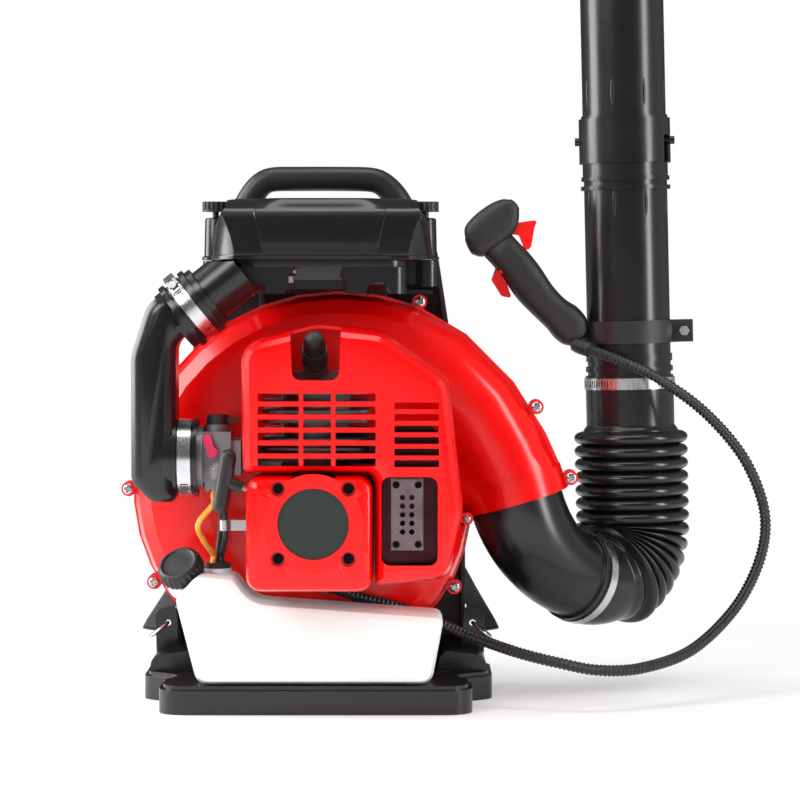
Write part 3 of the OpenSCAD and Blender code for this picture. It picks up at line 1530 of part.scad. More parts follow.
body_corners = [
  [229, 341, 8], [250, 337, 8], [262, 348, 8], [258, 369, 8], [243, 376, 20], [212, 416, 24],
  [191, 440, 2], [163, 419, 2], [173, 408, 14], [221, 351, 30]
];
head_corners = [
  [147, 421, 10], [163, 419, 2], [191, 440, 2], [196, 465, 9], [184, 479, 8], [163, 471, 26], [138, 452, 10]
];

// Solid from an outline in X and Z, rounded towards both flat sides
module rounded_slab(corners, thick, eye = undef) {
  half = thick / 2;
  sections = [[half, 7], [half - 2, 3], [half - 6, 0], [6 - half, 0], [2 - half, 3], [-half, 7]];
  loft([for (s = sections) across_y(outline(corners, s[1]), grip_y + s[0])], eye = eye);
}

module handle_body() {
  gap = 0.5;
  color(black) difference() {
    union() {
      rounded_slab(body_corners, grip_t, [225, 372]);
      rod(cable_boot, cable_boot + 18 * boot_dir, cable_d + 4);
    }
    // Saddle for the clamp's ring, slot for its tongue and holes for its pin
    rod(on_pipe(clamp_up - 1), on_pipe(clamp_up + clamp_h + 1), clamp_ring_d + 2 * soft_gap);
    along_y(grip_y - tongue_t / 2 - gap, grip_y + tongue_t / 2 + gap) {
      translate(handle_pin - [8, 9]) square([28, 18]);
    }
    rod_y(handle_pin.x, handle_pin.y, grip_y - grip_t / 2 + 3.5, grip_y + grip_t / 2 - 3.5, 6 + 2 * run_gap);
    // Pockets for the trigger and the lock lever, open to the sides that the hand grips
    along_y(grip_y - lever_t / 2 - gap, grip_y + lever_t / 2 + gap) {
      polygon([[185, 444], [230, 460], [226, 424], [200, 410]]);
      polygon([[160, 426], [182, 412], [196, 380], [160, 372]]);
    }
    rod_y(lock_pivot.x, lock_pivot.y, grip_y - 12, grip_y + 12, 4);
  }
}

// Thumb rest at the top of the grip, with the switch's seat on its far side
module handle_head() {
  color(black) difference() {
    rounded_slab(head_corners, grip_t - 2);
    along_y(grip_y - lever_t / 2 - 0.5, grip_y + lever_t / 2 + 0.5) {
      polygon([[178, 440], [186, 458], [230, 466], [222, 424]]);
    }
    rod_y(trigger_pivot.x, trigger_pivot.y, grip_y - 12, grip_y + 12, 4);
    translate([158, grip_y + grip_t / 2 - 5, 443]) cube([14.6, 8, 8.6]);
  }
}

module throttle_trigger() {
  at = trigger_pivot;
  color(red) {
    along_y(grip_y - lever_t / 2, grip_y + lever_t / 2) polygon(outline([
      [at.x - 3, at.y - 4, 1.5], [at.x + 10, at.y - 6, 2], [202, 426, 3], [207, 432, 2], [210, 450, 3],
      [213, 458, 2], [205, 457, 3], [at.x - 1, at.y + 5, 2]
    ]));
    rod_y(at.x, at.y, grip_y - 12, grip_y + 12, 4 - 2 * run_gap);
  }
}

module lock_lever() {
  at = lock_pivot;
  color(red) {
    along_y(grip_y - lever_t / 2, grip_y + lever_t / 2) polygon(outline([
      [at.x - 5, at.y + 4, 2], [at.x - 9, at.y - 8, 2], [at.x + 1, at.y - 24, 4], [at.x + 11, at.y - 26, 2],
      [at.x + 5, at.y - 8, 3], [at.x + 4, at.y + 3, 2]
    ]));
    rod_y(at.x, at.y, grip_y - 12, grip_y + 12, 4 - 2 * run_gap);
  }
}

module stop_switch() {
  y0 = grip_y + grip_t / 2 - 5;
  color(red) {
    translate([158.3, y0, 443.3]) cube([10, 5.5, 8]);
    translate([161, y0 + 5, 444]) cube([4, 2.5, 6.6]);
  }
}

// ---------- Throttle cable ----------

cable_along = tangents(cable_line);
module cable_part(i) {
  from = cable_splits[i] * cable_steps;
  to = cable_splits[i + 1] * cable_steps;
  color(black) cord(
    [for (k = [from:to]) cable_line[k]], cable_d, 10, [for (k = [from:to]) cable_along[k]]);
}
module throttle_cable_lower() { cable_part(0); }
module throttle_cable_middle() { cable_part(1); }
module throttle_cable_upper() { cable_part(2); }

stand_base();
back_frame();
back_pad();
shoulder_strap_left();
shoulder_strap_right();
strap_hook_left();
strap_hook_right();
vibration_mounts();
fan_case_rear();
fan_case_front();
inlet_guard();
case_screws();
crankcase();
cylinder_block();
spark_plug();
plug_boot();
muffler();
engine_cover();
starter_case();
starter_disc();
cover_screws();
fan_rotor();
starter_pulley();
starter_rope();
starter_grip();
fuel_tank();
tank_grommet();
fuel_cap();
fuel_line();
breather_lines();
line_clip();
carburettor();
throttle_lever();
choke_lever();
primer_bulb();
intake_duct();
upper_duct_clamp();
lower_duct_clamp();
air_cleaner_case();
filter_element();
air_cleaner_cover();
cover_knob_left();
cover_knob_right();
elbow();
elbow_clamp();
flexible_hose();
hose_top_clamp();
swivel_pipe();
straight_pipe();
nozzle();
handle_clamp();
clamp_bolt();
handle_body();
handle_head();
throttle_trigger();
lock_lever();
stop_switch();
throttle_cable_lower();
throttle_cable_middle();
throttle_cable_upper();
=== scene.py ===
"""Looks of a backpack leaf blower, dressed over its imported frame.

Soft pieces (hose, straps, pad, cables, lines, rope) are surfaces worked out on grids and carried along
the routes that the solids follow. Rigid pieces are the solids themselves, welded and given rounded edges.
The shared frame is in metres: +Z up, +X to the blowing side, -Y to the engine.
"""
import json
import math

import bmesh
import bpy
import numpy as np
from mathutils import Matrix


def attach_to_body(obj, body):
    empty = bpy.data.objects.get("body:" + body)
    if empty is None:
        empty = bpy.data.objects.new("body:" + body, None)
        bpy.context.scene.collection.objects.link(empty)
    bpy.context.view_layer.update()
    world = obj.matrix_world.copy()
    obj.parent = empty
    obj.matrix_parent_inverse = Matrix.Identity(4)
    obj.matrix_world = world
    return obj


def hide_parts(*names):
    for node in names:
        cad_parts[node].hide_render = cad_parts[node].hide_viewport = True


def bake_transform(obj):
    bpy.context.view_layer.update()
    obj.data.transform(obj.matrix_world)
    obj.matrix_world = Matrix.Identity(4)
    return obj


MM = 0.001
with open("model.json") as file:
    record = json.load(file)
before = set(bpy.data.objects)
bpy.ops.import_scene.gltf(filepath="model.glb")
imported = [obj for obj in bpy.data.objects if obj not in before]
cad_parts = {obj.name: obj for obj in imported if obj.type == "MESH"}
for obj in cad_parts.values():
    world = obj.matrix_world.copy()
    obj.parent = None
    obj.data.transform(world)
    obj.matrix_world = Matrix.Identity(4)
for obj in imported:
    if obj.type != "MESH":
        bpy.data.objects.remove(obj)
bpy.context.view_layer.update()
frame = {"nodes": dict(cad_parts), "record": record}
nodes = frame["nodes"]

BODY_OF = {node: body for body, members in frame["record"]["behaviour"]["bodies"].items() for node in members}
SLOT_OF = {part["node"]: part["material_slot"] for part in frame["record"]["subparts"]}


def put_up(name, data):
    """New object that stands in the scene."""
    item = bpy.data.objects.new(name, data)
    bpy.context.scene.collection.objects.link(item)
    return item


# ---------- Camera ----------

CAMERA_AWAY, CAMERA_HIGH, CAMERA_SIDE = 3.0, 0.400, 0.078
CAMERA_DIP = math.radians(2.194)
SEEN_WIDTH = 0.760


def set_camera():
    """Long lens in front of the engine, dipped a little, that sees SEEN_WIDTH at the machine's middle."""
    lens = bpy.data.cameras.new("studio_camera")
    lens.sensor_width = 36
    lens.lens = lens.sensor_width * CAMERA_AWAY / SEEN_WIDTH
    lens.clip_end = 50
    camera = put_up("studio_camera", lens)
    camera.location = (CAMERA_SIDE, -CAMERA_AWAY, CAMERA_HIGH)
    camera.rotation_euler = (math.radians(90) - CAMERA_DIP, 0, 0)
    bpy.context.scene.camera = camera


set_camera()


# ---------- Grids, routes and skins ----------

def unit(v):
    """Vectors along the last axis, each divided by its length."""
    return v / np.linalg.norm(v, axis=-1, keepdims=True)


def ease(t):
    """Smooth step from 0 to 1: t squared times (3 - 2t), held at both ends."""
    t = np.clip(t, 0, 1)
    return t * t * (3 - 2 * t)


def circle(count, power=1.0):
    """Cosines and sines at equal steps round a circle. A power below 1 squares them off."""
    a = np.arange(count) * 2 * np.pi / count
    c, s = np.cos(a), np.sin(a)
    return np.sign(c) * np.abs(c) ** power, np.sign(s) * np.abs(s) ** power


def ring_axes(axis):
    """Unit axis and two unit directions square to it."""
    axis = unit(np.array(axis, float))
    across = unit(np.cross(axis, [0.31, 0.87, 0.38]))
    return axis, across, np.cross(axis, across)


def route_through(points, steps):
    """Catmull-Rom curve through the points: each span is the cubic whose ends have half the chord of
    their neighbours as slope, sampled in equal steps."""
    p = np.asarray(points, float)
    before, a, b, after = p[np.r_[0, 0:len(p) - 2]], p[:-1], p[1:], p[np.r_[2:len(p), len(p) - 1]]
    t = (np.arange(steps) / steps)[None, :, None]
    before, a, b, after = (q[:, None, :] for q in (before, a, b, after))
    spans = 0.5 * (2 * a + (b - before) * t + (2 * before - 5 * a + 4 * b - after) * t ** 2
                   + (3 * a - before - 3 * b + after) * t ** 3)
    return np.concatenate([spans.reshape(-1, 3), p[-1:]])


def evenly(path, step):
    """The same route with points at equal arc length, about step apart. Returns points and arc lengths."""
    s = np.r_[0, np.cumsum(np.linalg.norm(np.diff(path, axis=0), axis=1))]
    count = max(3, int(round(s[-1] / step)) + 1)
    at = np.linspace(0, s[-1], count)
    return np.stack([np.interp(at, s, path[:, k]) for k in range(3)], -1), at


def sides_of(path, keep):
    """Unit directions across a route: one square to the tangent and the direction keep, and its partner."""
    tangent = unit(np.gradient(path, axis=0))
    across = unit(np.cross(tangent, np.asarray(keep, float)))
    return tangent, across, np.cross(tangent, across)


def sweep(centres, across, other, wide, deep):
    """Rings of points: each centre, plus wide along one side and deep along the other."""
    across, other = (np.broadcast_to(way, np.shape(centres))[:, None] for way in (across, other))
    return centres[:, None] + wide[..., None] * across + deep[..., None] * other


def turned(profile, foot, axis, c, s, ribs=0.0):
    """Rings round an axis from its foot, for a profile of (height, radius, share of the ribs). c and s are
    the cosines and sines of the columns."""
    axis, across, other = ring_axes(axis)
    high, radius, share = (np.array(column, float)[:, None] for column in zip(*profile))
    reach = radius + share * ribs
    return sweep(np.asarray(foot) + high * axis, across, other, reach * c, reach * s)


def tube_rows(path, radius, keep, sides):
    """Rings of a tube: centre plus radius times (cos a along one side, sin a along the other).
    radius is one value, one for each ring, or one for each ring and column."""
    tangent, across, other = sides_of(path, keep)
    c, s = circle(sides)
    r = np.broadcast_to(np.asarray(radius, float).reshape(len(np.atleast_1d(radius)), -1), (len(path), sides))
    return sweep(path, across, other, r * c, r * s)


def skin(name, rows, along=None, around=1.0, loop=False, creased=None):
    """Mesh over a grid of points whose columns close into rings. Rings that loop also close end to end,
    and others end in a fan from the ring's mean point. UV is length along the rows and share round them.
    Edges sharper than the angle creased, in degrees, stay sharp under smooth shading."""
    m, n = rows.shape[:2]
    along = np.arange(m, dtype=float) if along is None else np.asarray(along, float)
    i, j = np.mgrid[0:m if loop else m - 1, 0:n]
    row, column = (np.stack(way, -1).reshape(-1, 4) for way in ([i, i, i + 1, i + 1], [j, j + 1, j + 1, j]))
    verts, faces = rows.reshape(-1, 3), (row % m * n + column % n).tolist()
    uv = np.stack([np.r_[along, along[-1]][row], column / n * around], -1).reshape(-1, 2)
    if not loop:
        k, last = np.arange(n), (m - 1) * n
        verts = np.concatenate([verts, rows[0].mean(0)[None], rows[-1].mean(0)[None]])
        faces += np.stack([np.full(n, m * n), (k + 1) % n, k], -1).tolist()
        faces += np.stack([np.full(n, m * n + 1), last + k, last + (k + 1) % n], -1).tolist()
        fans = np.stack([np.repeat(along[[0, -1]], 3 * n), np.tile(np.repeat(k / n * around, 3), 2)], -1)
        uv = np.concatenate([uv, fans])
    mesh = bpy.data.meshes.new(name)
    mesh.from_pydata(verts.tolist(), [], faces)
    mesh.uv_layers.new(name="UVMap").data.foreach_set("uv", uv.astype(np.float32).ravel())
    mesh.shade_smooth()
    mesh.update()
    if creased:
        mesh.set_sharp_from_angle(angle=math.radians(creased))
    return put_up(name, mesh)


def attach(piece, node, material=None, rides=True):
    """Finish, ride and slot of a node, for a piece that stands beside its solid."""
    piece.data.materials.clear()
    piece.data.materials.append(material or FINISH[SLOT_OF[node]])
    if rides:
        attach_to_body(piece, BODY_OF[node])


def settle(piece, node, material=None, rides=True):
    """The same for a piece that takes the place of its solid."""
    attach(piece, node, material, rides)
    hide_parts(node)


# ---------- Shader workshop ----------

class Bench:
    """Places nodes in a tree and joins them by socket name. A bench with a name makes a new material with one
    Principled BSDF, whose plain values are set on its own sockets."""

    def __init__(self, tree=None, name=None, **sockets):
        if name:
            self.material = bpy.data.materials.new(name)
            self.material.use_nodes = True
            tree = self.material.node_tree
            self.shader = tree.nodes["Principled BSDF"]
        self.tree = tree
        for key, value in sockets.items():
            self.shader.inputs[key.replace("_", " ")].default_value = value

    def put(self, kind, inputs=None, **settings):
        node = self.tree.nodes.new("ShaderNode" + kind)
        for key, value in settings.items():
            setattr(node, key, value)
        for key, value in (inputs or {}).items():
            socket = node.inputs[key]
            if isinstance(value, bpy.types.NodeSocket):
                self.tree.links.new(value, socket)
            else:
                socket.default_value = value
        return node

    def math(self, operation, a, b=0.0, clamp=False):
        return self.put("Math", {0: a, 1: b}, operation=operation, use_clamp=clamp).outputs[0]

    def plus(self, a, b, clamp=False):
        return self.math("ADD", a, b, clamp=clamp)

    def minus(self, a, b, clamp=False):
        return self.math("SUBTRACT", a, b, clamp=clamp)

    def times(self, first, *others, clamp=False):
        for other in others:
            first = self.math("MULTIPLY", first, other, clamp=clamp)
        return first

    def noise(self, vector, scale, detail=3.0, rough=0.5):
        return self.put("TexNoise", {
            "Vector": vector, "Scale": scale, "Detail": detail, "Roughness": rough}).outputs["Fac"]

    def span(self, value, low, high, to_low=0.0, to_high=1.0):
        return self.put("MapRange", {
            "Value": value, "From Min": low, "From Max": high, "To Min": to_low, "To Max": to_high
        }).outputs["Result"]

    def near(self, value, middle, full, none):
        """1 within full of the middle, falling to 0 at none."""
        return self.span(self.math("ABSOLUTE", self.minus(value, middle)), full, none, 1.0, 0.0)

    def blend(self, share, a, b):
        return self.put("Mix", {0: share, 6: a, 7: b}, data_type="RGBA").outputs[2]

    def place(self, scale=(1, 1, 1), rotation=(0, 0, 0)):
        where = self.put("TexCoord").outputs["Object"]
        return self.put("Mapping", {"Vector": where, "Scale": scale, "Rotation": rotation}).outputs["Vector"]

    def split(self, vector="Object"):
        """The X, Y and Z of a vector, or of the texture coordinate of that name."""
        if isinstance(vector, str):
            vector = self.put("TexCoord").outputs[vector]
        return self.put("SeparateXYZ", {0: vector}).outputs

    def finish(self, colour, rough, height, strength, distance):
        """Wires colour, roughness and a bump of the height to the material's shader."""
        bump = self.put("Bump", {"Height": height, "Strength": strength, "Distance": distance})
        for key, value in (("Base Color", colour), ("Roughness", rough), ("Normal", bump.outputs["Normal"])):
            self.tree.links.new(value, self.shader.inputs[key])
        return self.material


def effect(name, inputs, outputs, build):
    """Node group with named float inputs (and their defaults) and float outputs."""
    tree = bpy.data.node_groups.new(name, "ShaderNodeTree")
    for key, value in inputs.items():
        socket = tree.interface.new_socket(name=key, in_out="INPUT", socket_type="NodeSocketFloat")
        socket.default_value = value
    for key in outputs:
        tree.interface.new_socket(name=key, in_out="OUTPUT", socket_type="NodeSocketFloat")
    bench = Bench(tree)
    entry = tree.nodes.new("NodeGroupInput").outputs
    leave = tree.nodes.new("NodeGroupOutput").inputs
    for key, value in build(bench, entry).items():
        tree.links.new(value, leave[key])
    return tree


def build_moulding(b, given):
    """Height: fine pits of a moulded skin over slow waves of shrinkage. Tone: slow drift of the colour."""
    at = b.place()
    pits = b.noise(at, given["Grain per metre"], 2.0, 0.6)
    waves = b.noise(at, 9.0, 2.0, 0.5)
    height = b.plus(b.times(pits, given["Grain"]), b.times(waves, given["Waves"]))
    tone = b.noise(at, 14.0, 4.0, 0.6)
    return {"Height": height, "Tone": tone}


def build_edge_wear(b, given):
    """Mask along corners: how far the rounded normal turns from the true one, broken up by noise."""
    geometry = b.put("NewGeometry")
    rounded = b.put("Bevel", {"Radius": given["Width"]}, samples=4).outputs["Normal"]
    facing = b.put("VectorMath", {0: rounded, 1: geometry.outputs["Normal"]}, operation="DOT_PRODUCT")
    turn = b.minus(1.0, facing.outputs["Value"], clamp=True)
    breakup = b.span(b.noise(b.place(), 160.0, 4.0, 0.65), 0.42, 0.68)
    return {"Mask": b.times(b.span(turn, 0.02, 0.16), b.times(breakup, given["Amount"]))}


def build_dust(b, given):
    """Mask of fine dust: noise where the surface faces up."""
    normal = b.put("NewGeometry").outputs["Normal"]
    up = b.split(normal)["Z"]
    flecks = b.span(b.noise(b.place(), 70.0, 6.0, 0.7), 0.45, 0.8)
    return {"Mask": b.times(b.span(up, 0.2, 1.0), flecks, given["Amount"])}


def build_rubbing(b, given):
    """Fine hairlines: noise drawn out along a slanted direction, kept where it peaks."""
    at = b.place(scale=(24, 24, 420), rotation=(0.5, 0.35, 0.2))
    lines = b.span(b.noise(at, 1.0, 2.0, 0.5), 0.60, 0.66)
    patches = b.span(b.noise(b.place(), 16.0, 2.0, 0.5), 0.48, 0.62)
    return {"Mask": b.times(lines, patches, given["Amount"])}


def build_weave(b, given):
    """Plain weave on the piece's own UV map in metres: two sets of threads that pass over and under."""
    uv = b.split("UV")
    x, y = (b.times(uv[key], given["Threads per metre"]) for key in "XY")
    warp, weft = (b.math("ABSOLUTE", b.math("SINE", b.times(way, math.pi))) for way in (x, y))
    cell = b.plus(b.math("FLOOR", x), b.math("FLOOR", y))
    over = b.math("MODULO", b.math("ABSOLUTE", cell), 2.0)
    height = b.plus(b.times(warp, over), b.times(weft, b.minus(1.0, over)))
    fuzz = b.noise(b.place(), 900.0, 3.0, 0.7)
    return {"Height": b.plus(height, b.times(fuzz, 0.5)), "Fuzz": fuzz}


MOULDING = effect("moulding_skin", {"Grain": 0.3, "Grain per metre": 900.0, "Waves": 0.3},
                  ["Height", "Tone"], build_moulding)
EDGE_WEAR = effect("edge_wear", {"Width": 0.0012, "Amount": 0.5}, ["Mask"], build_edge_wear)
DUST = effect("settled_dust", {"Amount": 0.1}, ["Mask"], build_dust)
RUBBING = effect("rubbed_hairlines", {"Amount": 0.3}, ["Mask"], build_rubbing)
WEAVE = effect("plain_weave", {"Threads per metre": 900.0}, ["Height", "Fuzz"], build_weave)


def placed(bench, tree, values):
    node = bench.put("Group", node_tree=tree)
    for key, value in values.items():
        node.inputs[key].default_value = value
    return node.outputs


def rgb(r, g, b):
    return (r, g, b, 1.0)


def tint(colour, gain, lift=0.0):
    """The colour times a gain, plus a lift, and no more than white."""
    return rgb(*(min(1.0, c * gain + lift) for c in colour))


def moulded(name, colour, rough, grain=0.3, grain_per_m=900.0, waves=0.3, depth=0.12, worn=None, wear=0.35,
            dust=0.05, rubbed=0.25, drift=0.10, **more):
    """Moulded plastic: the colour drifts a little, its corners are rubbed pale, dust lies on what faces up,
    hairlines and the grain break up the gloss."""
    b = Bench(name=name, **more)
    skin_of = placed(b, MOULDING, {"Grain": grain, "Grain per metre": grain_per_m, "Waves": waves})
    worn_mask = placed(b, EDGE_WEAR, {"Amount": wear})["Mask"]
    dust_mask = placed(b, DUST, {"Amount": dust})["Mask"]
    rub_mask = placed(b, RUBBING, {"Amount": rubbed})["Mask"]
    body = b.blend(skin_of["Tone"], tint(colour, 1 - drift), tint(colour, 1 + drift))
    body = b.blend(worn_mask, body, rgb(*worn) if worn else tint(colour, 1.5, 0.05))
    body = b.blend(dust_mask, body, rgb(0.55, 0.53, 0.50))
    uneven = b.span(skin_of["Tone"], 0.3, 0.7, rough * 0.85, rough * 1.15)
    uneven = b.plus(uneven, b.times(rub_mask, 0.25))
    uneven = b.plus(uneven, b.times(dust_mask, 0.4), clamp=True)
    return b.finish(body, uneven, skin_of["Height"], depth, 0.0006)


def metal(name, colour, rough, streak=(1, 1, 60), cast=0.0, stained=None):
    """Metal: streaks of brushing or the sand skin of a casting in its roughness and bump, and slow stains."""
    b = Bench(name=name, Metallic=1.0)
    brushed = b.noise(b.place(scale=streak), 40.0, 3.0, 0.6)
    sand = b.noise(b.place(), 1500.0, 3.0, 0.65)
    stain = b.span(b.noise(b.place(), 34.0, 5.0, 0.62), 0.35, 0.75)
    edge = placed(b, EDGE_WEAR, {"Amount": 0.3})["Mask"]
    body = b.blend(b.times(stain, 0.6), rgb(*colour), rgb(*stained) if stained else tint(colour, 0.72))
    body = b.blend(edge, body, tint(colour, 1.25, 0.05))
    uneven = b.plus(b.span(brushed, 0.25, 0.75, rough - 0.12, rough + 0.12),
                    b.times(sand, cast * 0.3), clamp=True)
    height = b.plus(b.times(brushed, 0.25), b.times(sand, cast))
    return b.finish(body, uneven, height, 0.25, 0.0005)


BAND_T, BLUR = 0.0018, 0.0006
SLOT_LEAN = 130.0


def slotted_band(name, centre, axis, slots, half_width, radius, stretch_axis, low, high):
    """Zinc-plated worm band: slots at equal angles round the axis, pressed through the middle of the band
    where the coordinate on stretch_axis is between low and high."""
    b = Bench(name=name, Metallic=1.0)
    tilt = math.atan2(math.hypot(axis[0], axis[1]), axis[2])
    turn = math.atan2(axis[1], axis[0])
    where = b.put("TexCoord").outputs["Object"]
    moved = b.put("VectorMath", {0: where, 1: tuple(centre)}, operation="SUBTRACT").outputs[0]
    unturned = b.put("VectorRotate", {"Vector": moved, "Axis": (0, 0, 1), "Angle": -turn},
                     rotation_type="AXIS_ANGLE").outputs[0]
    upright = b.put("VectorRotate", {"Vector": unturned, "Axis": (0, 1, 0), "Angle": -tilt},
                    rotation_type="AXIS_ANGLE").outputs[0]
    part = b.split(upright)
    angle = b.math("ARCTAN2", part["Y"], part["X"])
    # The slots lean a little, as worm threads do
    phase = b.plus(b.times(angle, slots), b.times(part["Z"], SLOT_LEAN))
    wave = b.span(b.math("SINE", phase), 0.1, 0.5)
    inside = b.near(part["Z"], 0.0, half_width * 0.52, half_width * 0.62)
    on_band = b.span(b.math("SQRT", b.plus(b.math("POWER", part["X"], 2.0), b.math("POWER", part["Y"], 2.0))),
                     radius + BAND_T, radius + BAND_T + BLUR, 1.0, 0.0)
    place = b.split(where)[stretch_axis]
    slotted = b.times(b.span(place, low, low + BLUR), b.span(place, high - BLUR, high, 1.0, 0.0))
    slot_mask = b.times(wave, inside, on_band, slotted)
    brushed = b.noise(b.place(scale=(300, 300, 20)), 4.0, 3.0, 0.6)
    stain = b.noise(b.place(), 60.0, 4.0, 0.6)
    body = b.blend(b.span(stain, 0.35, 0.7), rgb(0.66, 0.67, 0.68), rgb(0.56, 0.57, 0.60))
    body = b.blend(slot_mask, body, rgb(0.05, 0.05, 0.055))
    uneven = b.plus(b.span(brushed, 0.3, 0.7, 0.16, 0.34), b.times(slot_mask, 0.3), clamp=True)
    return b.finish(body, uneven, b.minus(0.0, slot_mask), 0.7, 0.0008)


STITCH = 0.0042


def woven(name, colour, threads, seam=()):
    """Cloth on its own UV map: threads over and under, fuzz, and two rows of stitches at the UV widths in
    seam."""
    b = Bench(name=name, Sheen_Weight=0.35, Sheen_Roughness=0.5)
    cloth = placed(b, WEAVE, {"Threads per metre": threads})
    tone = b.noise(b.place(), 12.0, 4.0, 0.6)
    body = b.blend(tone, tint(colour, 0.8), tint(colour, 1.25))
    # Painted shade: the cloth is darker where the threads dip, between them
    body = b.blend(b.times(cloth["Height"], 0.5, clamp=True), tint(colour, 0.55), body)
    height = cloth["Height"]
    if seam:
        uv = b.split("UV")
        stitches = b.span(b.math("SINE", b.times(uv["X"], 2 * math.pi / STITCH)), -0.35, 0.0)
        rows = [b.near(uv["Y"], at, 0.0004, 0.0008) for at in seam]
        thread = b.times(b.math("MAXIMUM", *rows), stitches)
        body = b.blend(thread, body, tint(colour, 2.4, 0.05))
        height = b.plus(height, b.times(thread, 1.5))
    uneven = b.span(cloth["Fuzz"], 0.2, 0.8, 0.77, 0.93)
    return b.finish(body, uneven, height, 0.5, 0.0004)


# Muffler's outlet plate: its middle, half its size, and the way from its middle to its four screws
PLATE_MID = {"X": 0.0845, "Z": 0.187}
PLATE_HALF = {"X": 0.0146, "Z": 0.0326}
PLATE_SCREWS = {"X": 0.010, "Z": 0.027}


def muffler_painted_shade():
    """Heat-stained can, painted dark maroon as the shade of the cover's window with a painted red reflection
    of the case, and a bare outlet plate whose screws sit in round patches of painted shade.
    """
    b = Bench(name="muffler_painted_shade", Metallic=1.0)
    spot = b.split()
    plate = b.times(*(b.near(spot[key], PLATE_MID[key], half - 0.0003, half + 0.0003)
                      for key, half in PLATE_HALF.items()))
    off = {key: b.math("ABSOLUTE", b.minus(spot[key], mid)) for key, mid in PLATE_MID.items()}
    squares = [b.math("POWER", b.math("ABSOLUTE", b.minus(off[key], at)), 2.0)
               for key, at in PLATE_SCREWS.items()]
    # Painted shade: near-black round patches round the four screws stand in for the shade of their pockets
    painted_pocket_shade = b.span(b.math("SQRT", b.plus(*squares)), 0.0030, 0.0036, 1.0, 0.0)
    stain = b.span(b.noise(b.place(), 40.0, 5.0, 0.62), 0.3, 0.75)
    # The can's dark maroon is painted shade of the window's depth with a painted red reflection; the noise
    # between the two tones is real heat stain
    can = b.blend(stain, rgb(0.070, 0.020, 0.024), rgb(0.035, 0.012, 0.014))
    bare = b.blend(stain, rgb(0.30, 0.24, 0.25), rgb(0.19, 0.13, 0.14))
    # The screw patches take the near-black of painted shade over can and plate
    body = b.blend(painted_pocket_shade, b.blend(plate, can, bare), rgb(0.012, 0.008, 0.008))
    uneven = b.plus(b.span(stain, 0.0, 1.0, 0.20, 0.32), b.times(plate, 0.10), clamp=True)
    return b.finish(body, uneven, b.noise(b.place(), 1500.0, 3.0, 0.65), 0.12, 0.0004)


def amber_line_finish():
    """Clear amber rubber with a slow tone, a fine grain and a wet gloss."""
    b = Bench(name="amber_fuel_rubber", Coat_Weight=0.3, Subsurface_Weight=0.35, Subsurface_Scale=0.003)
    tone = b.noise(b.place(), 60.0)
    body = b.blend(tone, rgb(0.78, 0.30, 0.02), rgb(0.88, 0.46, 0.06))
    return b.finish(body, b.span(tone, 0.3, 0.7, 0.18, 0.32), b.noise(b.place(), 800.0), 0.15, 0.0004)


def clear_bulb_finish():
    """See-through plastic with a faint haze in its roughness."""
    b = Bench(name="clear_bulb_plastic", Transmission_Weight=0.85, IOR=1.45, Metallic=0.0)
    haze = b.noise(b.place(), 180.0, 3.0, 0.6)
    body = b.blend(haze, rgb(0.86, 0.89, 0.90), rgb(0.94, 0.95, 0.95))
    return b.finish(body, b.span(haze, 0.3, 0.7, 0.05, 0.16), haze, 0.08, 0.0004)


RED = (0.74, 0.0015, 0.0015)
FINISH = {
    "red_plastic": moulded("red_moulding", RED, 0.20, grain=0.15, grain_per_m=1500, waves=0.5, depth=0.10,
                           worn=(0.80, 0.03, 0.02), wear=0.12, dust=0.0, rubbed=0.15, drift=0.05,
                           Specular_IOR_Level=0.38),
    "black_plastic": moulded("black_grained_moulding", (0.011, 0.011, 0.012), 0.40, grain=0.9,
                             grain_per_m=1700, depth=0.26, worn=(0.05, 0.05, 0.055), wear=0.4, dust=0.012),
    "black_gloss": moulded("black_gloss_moulding", (0.007, 0.007, 0.008), 0.24, grain=0.15, waves=0.6,
                           depth=0.10, worn=(0.04, 0.04, 0.04), wear=0.25, dust=0.006, rubbed=0.12),
    "grey_plastic": moulded("grey_fan_moulding", (0.06, 0.06, 0.065), 0.42, grain=0.6, depth=0.2),
    "milky_plastic": moulded("milky_tank_plastic", (0.80, 0.81, 0.80), 0.34, grain=0.4, grain_per_m=700,
                             waves=0.9, depth=0.14, worn=(0.88, 0.88, 0.87), wear=0.2, dust=0.02,
                             drift=0.03, Subsurface_Weight=0.25, Subsurface_Scale=0.006),
    "pink_plastic": moulded("pink_choke_moulding", (0.62, 0.01, 0.09), 0.34),
    "rubber": moulded("black_rubber", (0.016, 0.016, 0.017), 0.50, grain=0.7, grain_per_m=1200, depth=0.25,
                      worn=(0.07, 0.07, 0.07), wear=0.3, dust=0.08),
    "filter": moulded("pleated_filter_paper", (0.66, 0.56, 0.36), 0.9, grain=1.0, grain_per_m=2400,
                      depth=0.5),
    "steel": metal("bright_steel", (0.62, 0.62, 0.64), 0.30),
    "zinc": metal("zinc_plated_steel", (0.66, 0.67, 0.69), 0.26, streak=(60, 60, 1)),
    "alu": metal("cast_aluminium", (0.30, 0.31, 0.33), 0.42, streak=(1, 1, 1), cast=1.0),
    "muffler_steel": metal("heat_stained_steel", (0.36, 0.30, 0.28), 0.40, streak=(1, 1, 1), cast=0.2,
                           stained=(0.17, 0.10, 0.08)),
}
WORN_GRIP = moulded("soft_grip_moulding", (0.012, 0.012, 0.013), 0.42, grain=1.0, grain_per_m=2300,
                    depth=0.38, worn=(0.05, 0.05, 0.055), wear=0.3, dust=0.01)
DISC_GREEN = moulded("dark_disc_moulding", (0.010, 0.017, 0.014), 0.42, grain=1.0, grain_per_m=2600,
                     depth=0.35, worn=(0.03, 0.04, 0.035), dust=0.004)
